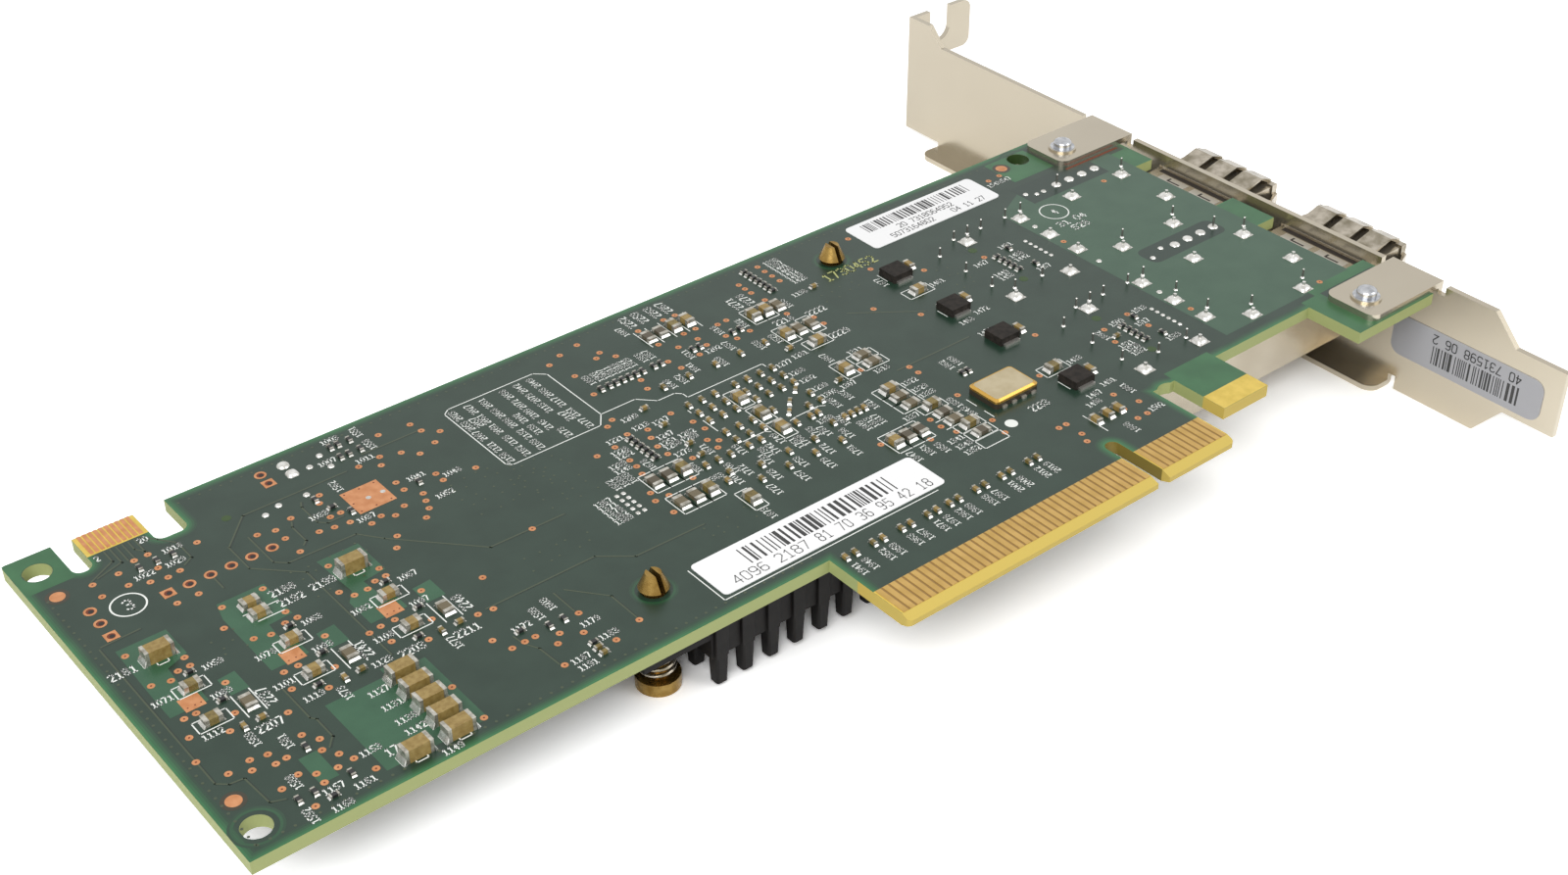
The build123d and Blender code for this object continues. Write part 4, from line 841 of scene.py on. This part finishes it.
for x in (9.25, 20.6, 31.95):
    for side in (x, x + 2.0):
        stroke([(side, 30.4), (side, 34.3)])
for x in (80.2, 82.0, 84.0, 86.0, 88.0):
    stroke([(x, 59.4), (x, 63.5)])
for x, y0, y1 in ((113.2, 43.0, 41.2), (113.2, 54.6, 52.6), (113.2, 21.6, 19.6), (102.0, 25.9, 24.2),
                  (102.0, 22.8, 21.2), (110.2, 10.6, 14.6)):
    stroke([(x, y0), (x, y1)])

# Marks of four chips: two sides, and a tray between them
MARK_SIDE = 1.5
for x0, x1, x2, x3, tray_low, tray_high, low in (
    (4.6, 5.9, 7.1, 8.4, 43.2, 43.6, 43.7), (27.1, 28.6, 29.8, 30.9, 43.2, 43.6, 43.7),
    (17.3, 18.6, 19.9, 21.1, 14.3, 14.7, 14.7), (22.1, 23.5, 24.8, 26.0, 14.3, 14.7, 14.7),
):
    tray = [(x1, tray_high), (x1, tray_low), (x2, tray_low), (x2, tray_high)]
    for points in ([(x0, low), (x0, low + MARK_SIDE)], [(x3, low), (x3, low + MARK_SIDE)], tray):
        stroke(points)

# Other printed lines
for points in (
    [(95.9, 28.3), (95.9, 26.6), (99.8, 26.6), (99.8, 28.3)], [(95.9, 24.7), (99.8, 24.7)],
    [(95.9, 22.8), (99.8, 22.8)], [(96.7, 22.8), (96.7, 21.0), (100.6, 21.0), (100.6, 22.8)],
    [(17.0, 43.0), (20.0, 43.0)], [(16.2, 44.8), (20.2, 44.8)],
    [(65.2, 49.5), (52.9, 49.5), (52.3, 50.1), (52.3, 63.2), (53.2, 63.9), (65.3, 63.9), (66.6, 62.7),
     (66.6, 51.4), (65.2, 49.5)],
    [(66.6, 51.4), (71.6, 51.4), (73.5, 49.4), (76.0, 49.4), (76.7, 48.7), (76.7, 47.7), (88.2, 47.7),
     (88.2, 47.0)],
    [(75.1, 39.8), (75.1, 42.6)], [(75.0, 44.8), (75.0, 45.4)], [(76.0, 36.2), (79.2, 36.2), (79.8, 35.7)],
    [(83.0, 36.0), (84.0, 36.2), (87.6, 36.2), (88.2, 35.8)],
    [(56.4, 21.1), (56.4, 14.7), (86.9, 14.7)],
):
    stroke(points)
printed.build("label_paper")


def frame_of(block):
    """Centre, direction, length, width, bottom and top of a block, from its corner points."""
    low, high = (corner[2] for corner in bounds_of(block))
    base = [Vector(p[:2]) for p in block if abs(p[2] - low) < 0.02]
    centre = sum(base, Vector((0, 0))) / len(base)
    base.sort(key=lambda p: math.atan2(p.y - centre.y, p.x - centre.x))
    first, second = base[1] - base[0], base[2] - base[1]
    along, across = (first, second) if first.length > second.length else (second, first)
    return centre, along.normalized(), along.length, across.length, low, high


SKIN, SOLDER_RISE, SOLDER_FLARE, SOLDER_HALF = 0.02, 0.45, 0.3, 0.48


def chip(shape, block, body, end, fillet, share=1.0):
    """A chip with a ceramic body, metal ends and the solder that climbs them; share lowers it."""
    centre, along, length, width, low, high = frame_of(block)
    high = low + (high - low) * share
    across = Vector((-along.y, along.x))
    height = high - low

    def corners(a0, a1, half):
        spots = ((a0, -half), (a1, -half), (a1, half), (a0, half))
        return [tuple(centre + along * a + across * b) for a, b in spots]

    inner = length / 2 - end
    shape.hull(corners(-inner - 0.01, inner + 0.01, width / 2 - SKIN), low, high - SKIN, body)
    for side in (-1, 1):
        near, far = sorted((side * inner, side * length / 2))
        shape.hull(corners(near, far, width / 2), low, high, cap_end)
        outer = side * (length / 2 + fillet)
        step = side * length / 2
        rise = low + height * SOLDER_RISE
        a, b = sorted((step, outer))
        half = width * SOLDER_HALF
        ground = corners(a, b, width / 2 + fillet * SOLDER_FLARE)
        wall = [tuple(centre + along * step + across * d) for d in (-half, half)]
        points = [(*p, low + TIN_Z) for p in ground] + [(*p, rise) for p in wall]
        slope = [1, 2, 5, 4] if side > 0 else [0, 4, 5, 3]
        shape.add(points, [[0, 1, 4], [3, 5, 2], slope], solder)


# The small chips. Five resistors are bare in the picture, so pairs of solder drops stand for them
BARE_X, BARE_LOW, BARE_HIGH = 58.9, 32, 38
random.seed(11)
for name, finishes, end, slot, share in (
    ("small_capacitors", (olive_ceramic, tan_ceramic), 0.2, "ceramic_tan", 0.85),
    ("standard_capacitors", (tan_ceramic,), 0.32, "ceramic_tan", 0.8),
    ("medium_capacitors", (tan_ceramic, olive_ceramic), 0.5, "ceramic_tan", 0.66),
    ("chip_inductors", (bead_grey, dark_ceramic), 0.46, "ferrite", 0.6),
    ("chip_resistors", (glaze,), 0.2, "resistor_black", 1.0),
):
    group = Shape("detail_" + name)
    for block in islands(name):
        centre = frame_of(block)[0]
        in_column = abs(centre.x - BARE_X) < 0.3 and BARE_LOW < centre.y < BARE_HIGH
        if name == "chip_resistors" and in_column:
            for side in (-0.45, 0.45):
                group.dome(centre.x + side, centre.y, SOLDER_Z, 0.27, 0.14, solder, 10, 2, square=True)
            continue
        chip(group, block, random.choice(finishes), end, fillet=0.16 if end < 0.25 else 0.24, share=share)
    group.build(slot, name, bevel=0.035)

# The eight large capacitors: one ceramic block each, with wide metal ends
large = Shape("detail_large_capacitors")
for block in islands("large_capacitor_bodies"):
    low, high = bounds_of(block)
    low[0], high[0] = low[0] - 0.5, high[0] + 0.5
    whole = [(x, y, z) for x in (low[0], high[0]) for y in (low[1], high[1]) for z in (low[2], high[2])]
    chip(large, whole, tan_ceramic, 0.42, fillet=0.34)
large.build("ceramic_tan", "large_capacitor_bodies", "large_capacitor_ends", bevel=0.06)

# Heat sink: its base, with two slender pins in the place of each long one of the plain model
SINK_BASE, SINK_LEDGE, RIB_DEPTH = 4.0, 1.2, 0.4
PIN_PITCH, PIN_START, PIN_ROWS, PIN_GAP = 3.6, 2.95, 7, 1.65
PIN_ROOT, PIN_TIP, PAIR_SHIFT, PIN_CLEAR = 0.86, 0.74, 0.18, 0.9
PUSH_ROOM, PUSH_INSET = 4.0, 4.95
(sink_left, sink_low, pin_ends), (sink_right, sink_high, sink_top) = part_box("heat_sink")
sink_left, sink_right = sink_left / MM + KEY_X, sink_right / MM + KEY_X
sink_low, sink_high, pin_ends, sink_top = (v / MM for v in (sink_low, sink_high, pin_ends, sink_top))
base_low, ledge, face = sink_top - SINK_BASE, sink_top - SINK_LEDGE, sink_low + RIB_DEPTH
push_pins = [middle_of(block) for block in islands("push_pin_springs")]


def beside_push_pin(x, y):
    """Whether a place lies round a push pin, or outward from it."""
    room = PUSH_ROOM + PIN_CLEAR
    for pin_x, pin_y in push_pins:
        outward = (x - pin_x) * (pin_x - (sink_left + sink_right) / 2) > 0
        if abs(y - pin_y) < room and (outward or abs(x - pin_x) < room):
            return True
    return False


sink = Shape("heat_sink_detail")
corner = PUSH_ROOM + PUSH_INSET
cut = [(sink_left + corner, face), (sink_right, face), (sink_right, sink_high - corner)]
cut += [(sink_right - corner, sink_high - corner), (sink_right - corner, sink_high), (sink_left, sink_high)]
cut += [(sink_left, sink_low + corner), (sink_left + corner, sink_low + corner)]
whole = box_outline(sink_left, sink_right, face, sink_high)
sink.hull(whole, ledge, sink_top, anodised)
sink.add([(x, y, ledge) for x, y in whole], [[3, 2, 1, 0]], anodised)
sink.hull(cut, base_low, ledge, anodised, cap=False)
sink.add([(x, y, base_low) for x, y in cut], [list(range(len(cut)))[::-1]], anodised)
row_pitch = (sink_high - sink_low + PIN_GAP) / PIN_ROWS / 2
for column in range(int((sink_right - sink_left - PIN_START) / PIN_PITCH) + 1):
    x = sink_left + PIN_START + column * PIN_PITCH
    for row in range(PIN_ROWS * 2):
        shift = PAIR_SHIFT if row % 2 else -PAIR_SHIFT
        y = sink_low - PIN_GAP / 2 + (row + 0.5) * row_pitch + shift
        if beside_push_pin(x, y):
            continue
        root, tip = (rounded(x - w, x + w, y - w, y + w, 0.3, 2) for w in (PIN_ROOT, PIN_TIP))
        sink.hull(tip, pin_ends, base_low, anodised, top=root)
        sink.flat(tip, pin_ends, anodised)
        if row == 0:
            rib = box_outline(x - PIN_ROOT, x + PIN_ROOT, sink_low, face + 0.1)
            sink.hull(rib, base_low, sink_top, anodised)
sink.build("sink_black", "heat_sink", bevel=0.1)

# Two rows of six bare pads by the cages
rows = Shape("solder_rows")
for block in islands("resistor_arrays"):
    low, high = (corner[1] for corner in bounds_of(block))
    for i in range(6):
        y = low + 0.2 + (high - low - 0.4) * i / 5
        rows.dome(middle_of(block)[0], y, SOLDER_Z, 0.3, 0.14, solder, 10, 2)
rows.build("solder", "resistor_arrays")

# Oscillator: a ceramic base with a gilt rim and a plated lid
CAN_X, CAN_Y, CAN_LENGTH, CAN_WIDTH = 103.15, 21.95, 7.0, 5.0
CAN_BODY, CAN_RIM, CAN_TOP, CAN_PADS, PAD_STEP = 0.72, 0.98, 1.2, 4, 1.6


def can_outline(inward):
    """The oscillator's outline, moved inward."""
    x1, y1 = CAN_X + CAN_LENGTH - inward, CAN_Y + CAN_WIDTH - inward
    return rounded(CAN_X + inward, x1, CAN_Y + inward, y1, 0.5)


can = Shape("oscillator_detail")
can.hull(can_outline(0), 0.0, CAN_BODY, osc_ceramic, smooth=True)
can.hull(can_outline(0), CAN_BODY, CAN_RIM, gilt, smooth=True)
can.hull(can_outline(0.1), CAN_RIM, CAN_TOP, gilt, top=can_outline(0.34))
can.flat(can_outline(0.36), CAN_TOP + 0.005, lid_plate)
for i in range(CAN_PADS):
    x = CAN_X + 0.9 + i * PAD_STEP
    can.box((x, CAN_Y - 0.3, 0.0), (x + 0.7, CAN_Y + 0.02, 0.3), cap_end)
can.build("ceramic_gold", "oscillator_base", "oscillator_lid", bevel=0.08)

# Solder joints of the cages, with the tip of a leg in each
joints = Shape("cage_joints_detail")
for block in islands("cage_solder_joints"):
    cx, cy = middle_of(block)
    joints.flat(box_outline(cx - 0.98, cx + 0.98, cy - 0.98, cy + 0.98), TIN_Z, tin)
    joints.dome(cx, cy, TIN_Z, 0.92, 0.62, solder, 16, 4, square=True)
    joints.tube([(cx, cy, 0.3), (cx + 0.02, cy, 0.98)], 0.24, solder, 8)
joints.build("solder", "cage_solder_joints")

# Solder joints of the lamp blocks, and of the pins and drops round them
leads = Shape("pin_joints_detail")
rows_of_joints = [middle_of(block) for block in islands("indicator_pin_joints")]
outermost = (min(rows_of_joints)[0], max(rows_of_joints)[0])
for cx, cy in rows_of_joints:
    leads.dome(cx, cy, SOLDER_Z, 0.72, 0.3, solder, 14, 4)
    if cx in outermost:
        leads.tube([(cx, cy, 0.2), (cx + 0.06, cy, 1.6)], 0.15, pin_dark, 8)
        leads.dome(cx + 0.06, cy, 1.6, 0.15, 0.1, solder, 8, 2)
tall = [(x, y) for y in (55.1, 32.4) for x in (127.4, 129.9, 132.4, 137.0, 139.9)]
tall += [(122.9, y) for y in (53.0, 48.0, 43.1, 30.2, 25.2, 20.2)]
tall += [(127.6, 18.5), (132.7, 18.5), (124.8, 40.8), (129.8, 40.8), (140.4, 27.1), (140.2, 21.6)]
tall += [(145.2, 18.6), (155.4, 18.6), (145.2, 41.0), (155.2, 41.0), (160.2, 55.2), (160.2, 32.6)]
for x, y in tall:
    leads.dome(x, y, SOLDER_Z, 0.3, 0.2, solder, 10, 2)
    leads.tube([(x, y, 0.1), (x, y, 1.3)], 0.13, pin_dark, 8)
    leads.dome(x, y, 1.3, 0.14, 0.1, solder, 8, 2)
for x, y, reach in ((138.3, 50.6, 0.4), (138.2, 38.6, 0.4), (138.4, 28.1, 0.4), (143.8, 57.9, 0.4),
                    (145.1, 57.0, 0.35), (146.4, 57.0, 0.4), (144.3, 34.6, 0.4), (147.0, 35.7, 0.4)):
    leads.dome(x, y, SOLDER_Z, reach, 0.2, solder, 10, 2)
for x, y, reach in ((26.4, 59.0, 0.42), (28.4, 59.7, 0.42), (31.8, 59.5, 0.42), (36.7, 65.3, 0.42),
                    (36.7, 62.6, 0.42), (34.7, 64.0, 0.42), (32.5, 66.2, 0.78)):
    leads.dome(x, y, SOLDER_Z, reach, reach * 0.5, solder, 14, 3)
leads.dome(32.5, 64.1, SOLDER_Z, 0.72, 0.5, solder, 16, 4, square=True)
leads.build("solder", "indicator_pin_joints")


LABEL_TOP, INK_Z = 0.1, 0.104


def bars(shape, x0, x1, y0, y1, seed, finest):
    """A generic pattern of upright bars with no meaning."""
    pattern = random.Random(seed)
    x = x0
    while x < x1:
        width = finest * pattern.choice((1, 1, 1, 2, 2, 3))
        shape.flat(box_outline(x, min(x + width, x1), y0, y1), INK_Z, ink)
        x += width + finest * pattern.choice((1, 1, 2, 2, 3))


# Labels on the solder face, and the print on them
label = Shape("address_label_detail")
label.hull(rounded(56.9, 88.7, 15.2, 21.6, 0.6), 0.0, LABEL_TOP, paper)
bars(label, 62.5, 83.6, 17.7, 20.6, 3, 0.17)
for figures, x, wide in (("4096 2187", 64.2, 0.95), ("81 70 36 95 42 18", 79.0, 0.74)):
    number(label, figures, x, 16.5, 1.45, z=INK_Z, finish=ink_light, weight=0.15, wide=wide)
label.build("label_paper", "address_label")

label = Shape("serial_label_detail")
label.hull(rounded(117.7, 140.8, 59.8, 66.5, 0.7), 0.0, LABEL_TOP, paper)
bars(label, 119.9, 138.6, 63.6, 65.8, 8, 0.14)
for figures, x, y in (
    ("20 7318064952", 129.0, 62.5), ("5073164802", 125.4, 61.0), ("04 11 27", 135.7, 61.0),
):
    number(label, figures, x, y, 1.0, z=INK_Z, finish=ink, weight=0.13, wide=0.9)
label.build("label_paper", "serial_label")

# Slots and folds on the cages, seen between the board's cut-outs and the bracket, with painted shade in the
# slots and in a band along the bracket
CAGE_BACK = 3.4
folds = Shape("cage_folds")
for port in (1, 2):
    low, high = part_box(f"module_cage_{port}")
    centre = (low[1] + high[1]) / 2 / MM
    top = high[2] / MM
    edge = BOARD_X - CAGE_BACK
    # A band of painted shade along the bracket
    folds.flat(box_outline(edge + 3.9, edge + 4.8, centre - 6.4, centre + 6.4), top + 0.010, hole_dark)
    for side in (-1, 1):
        y = centre + side * 2.9
        folds.flat(box_outline(edge + 2.2, edge + 3.7, y - 2.4, y + 2.4), top + 0.012, tin)
        folds.flat(box_outline(edge + 2.5, edge + 2.8, y - 1.4, y + 0.9), top + 0.016, hole_dark)
        folds.flat(box_outline(edge + 2.8, edge + 3.4, y + 0.6, y + 0.9), top + 0.016, hole_dark)
    folds.dome(edge + 0.7, centre + 5.6, top + 0.01, 0.35, 0.25, tin, 10, 2)
folds.build("spring_steel")

# Screws of the bracket: a collar and a short rounded end on the tab, a head with a socket beneath
SCREW_BACK, SCREW_PLACES, TAB_TOP = 8.48, (9.5, 63.5), 0.86
HEAD_REACH, HEAD_FACE, HEAD_HEIGHT, SOCKET_REACH, SHANK_REACH = 2.8, 2.4, 2.0, 0.95, 1.3
screws = Shape("bracket_screw_detail")
for cy in SCREW_PLACES:
    cx = BOARD_X - SCREW_BACK
    low = -BOARD_Z - HEAD_HEIGHT
    collar, head = TAB_TOP + 0.3, circle(cx, cy, HEAD_REACH)
    screws.hull(circle(cx, cy, 1.85), TAB_TOP, collar, zinc, True, top=circle(cx, cy, 1.75))
    screws.hull(circle(cx, cy, SHANK_REACH), collar, TAB_TOP + 0.9, zinc, True, cap=False)
    screws.dome(cx, cy, TAB_TOP + 0.9, SHANK_REACH, 0.5, zinc, 24, 5)
    screws.hull(circle(cx, cy, HEAD_FACE), low, low + 0.5, zinc, True, top=head, cap=False)
    screws.hull(head, low + 0.5, -BOARD_Z, zinc, True)
    screws.ring(cx, cy, low, SOCKET_REACH, HEAD_FACE, zinc)
    # The socket is a dark hexagon of painted shade
    screws.hull(circle(cx, cy, SOCKET_REACH, 6), low, low + 1.1, hole_dark)
screws.build("screw_steel", "bracket_screws")

# Springs round the push pins, as round wire
COIL_REACH, COIL_WIRE, COIL_TURNS, COIL_STEPS = 1.9, 0.24, 5.5, 132
coils = Shape("round_springs")
for block in islands("push_pin_springs"):
    start, end = bounds_of(block)
    cx, cy = (start[0] + end[0]) / 2, (start[1] + end[1]) / 2
    low, high = start[2] + 0.26, ledge - 0.26
    path = []
    for i in range(COIL_STEPS + 1):
        turn = math.tau * COIL_TURNS * i / COIL_STEPS
        x, y = cx + COIL_REACH * math.cos(turn), cy + COIL_REACH * math.sin(turn)
        path.append((x, y, low + (high - low) * i / COIL_STEPS))
    coils.tube(path, COIL_WIRE, spring_steel, 8)
coils.build("spring_steel", "push_pin_springs")

# Label on the bracket's inner face
sticker = Shape("bracket_label_detail")
sticker.hull(rounded(-12.0, 11.0, 6.0, 12.0, 1.6), 0.0, LABEL_TOP, paper_grey)
bars(sticker, -8.6, 4.8, 8.3, 11.0, 5, 0.15)
number(sticker, "40 731598 06 2", -1.9, 7.25, 1.25, z=INK_Z, finish=ink, weight=0.17, wide=0.9)
BRACKET_FACE = 166.78
sticker.points = [(BRACKET_FACE - z, x, -y) for x, y, z in sticker.points]
sticker.build("label_paper", "bracket_label")

# Stage: floor, light and camera
FLOOR_PALE, FLOOR_WHITE, FADE_START, FADE_END, FLOOR_REACH = 0.5, 1.5, 0.3, 0.7, 3
FLOOR_PLACE, FLOOR_TILT = (0.0588, 0.05, -0.01755), 2.28
WORLD_DIM, WORLD_BRIGHT = 0.5, 1.0
CAMERA_PLACE, CAMERA_TURN = (-0.15736, -0.12340, 0.14185), (55.123, 0.191, -39.555)


def seen_directly(tree):
    """One for the camera's rays and for the rays that metal and clear pieces send on."""
    rays = add(tree, "ShaderNodeLightPath").outputs
    direct = arithmetic(tree, "MAXIMUM", rays["Is Camera Ray"], rays["Is Glossy Ray"])
    return arithmetic(tree, "MAXIMUM", direct, rays["Is Transmission Ray"])


def floor_material():
    """A pale floor that looks white, and beyond the object's shadow is as white as the backdrop."""
    material = bpy.data.materials.new("floor")
    material.use_nodes = True
    tree = material.node_tree
    tree.nodes.remove(tree.nodes["Principled BSDF"])
    seen = seen_directly(tree)
    pale, white = (add(tree, "ShaderNodeBsdfDiffuse", {"Color": (grey, grey, grey, 1.0)}).outputs["BSDF"]
                   for grey in (FLOOR_PALE, FLOOR_WHITE))
    near = add(tree, "ShaderNodeMixShader", {"Fac": seen, 1: pale, 2: white}).outputs["Shader"]
    place = add(tree, "ShaderNodeTexCoord").outputs["Object"]
    reach = add(tree, "ShaderNodeVectorMath", {0: place}, "LENGTH").outputs["Value"]
    fade = add(tree, "ShaderNodeMapRange", {"Value": reach, "From Min": FADE_START, "From Max": FADE_END})
    share = arithmetic(tree, "MULTIPLY", fade.outputs["Result"], seen)
    distant = add(tree, "ShaderNodeEmission", {"Strength": 1.0}).outputs["Emission"]
    whole = add(tree, "ShaderNodeMixShader", {"Fac": share, 1: near, 2: distant}).outputs["Shader"]
    tree.links.new(whole, tree.nodes["Material Output"].inputs["Surface"])
    return material


floor_mesh = bpy.data.meshes.new("floor")
corners = [(x, y, 0) for x, y in box_outline(-FLOOR_REACH, FLOOR_REACH, -FLOOR_REACH, FLOOR_REACH)]
floor_mesh.from_pydata(corners, [], [[0, 1, 2, 3]])
floor_mesh.materials.append(floor_material())
floor = bpy.data.objects.new("floor", floor_mesh)
bpy.context.collection.objects.link(floor)
floor.location = FLOOR_PLACE
floor.rotation_euler = (0, math.radians(FLOOR_TILT), 0)


def area_light(name, place, target, size, power):
    """A rectangular lamp that points at a target."""
    lamp = bpy.data.lights.new(name, "AREA")
    lamp.shape = "RECTANGLE"
    lamp.size, lamp.size_y = size
    lamp.energy = power
    thing = bpy.data.objects.new(name, lamp)
    bpy.context.collection.objects.link(thing)
    thing.location = place
    thing.rotation_euler = (Vector(target) - Vector(place)).to_track_quat("-Z", "Y").to_euler()


area_light("key", (-0.45, -0.25, 0.5), (0.0, 0.03, 0), (0.5, 0.4), 4.2)
area_light("fill", (0.4, -0.5, 0.45), (0.02, 0.03, 0), (0.5, 0.5), 1.6)

world = bpy.data.worlds.new("studio")
bpy.context.scene.world = world
world.use_nodes = True
tree = world.node_tree
seen = seen_directly(tree)
glow = add(tree, "ShaderNodeMapRange", {"Value": seen, "To Min": WORLD_DIM, "To Max": WORLD_BRIGHT})
fill(tree, tree.nodes["Background"], {"Color": (1, 1, 1, 1), "Strength": glow.outputs["Result"]})

camera = bpy.data.cameras.new("camera")
camera.lens = 48.83
camera.sensor_width = 36
camera.clip_start = 0.005
shot = bpy.data.objects.new("camera", camera)
bpy.context.collection.objects.link(shot)
shot.location = CAMERA_PLACE
shot.rotation_euler = [math.radians(angle) for angle in CAMERA_TURN]
bpy.context.scene.camera = shot
bpy.context.scene.view_settings.view_transform = "Standard"
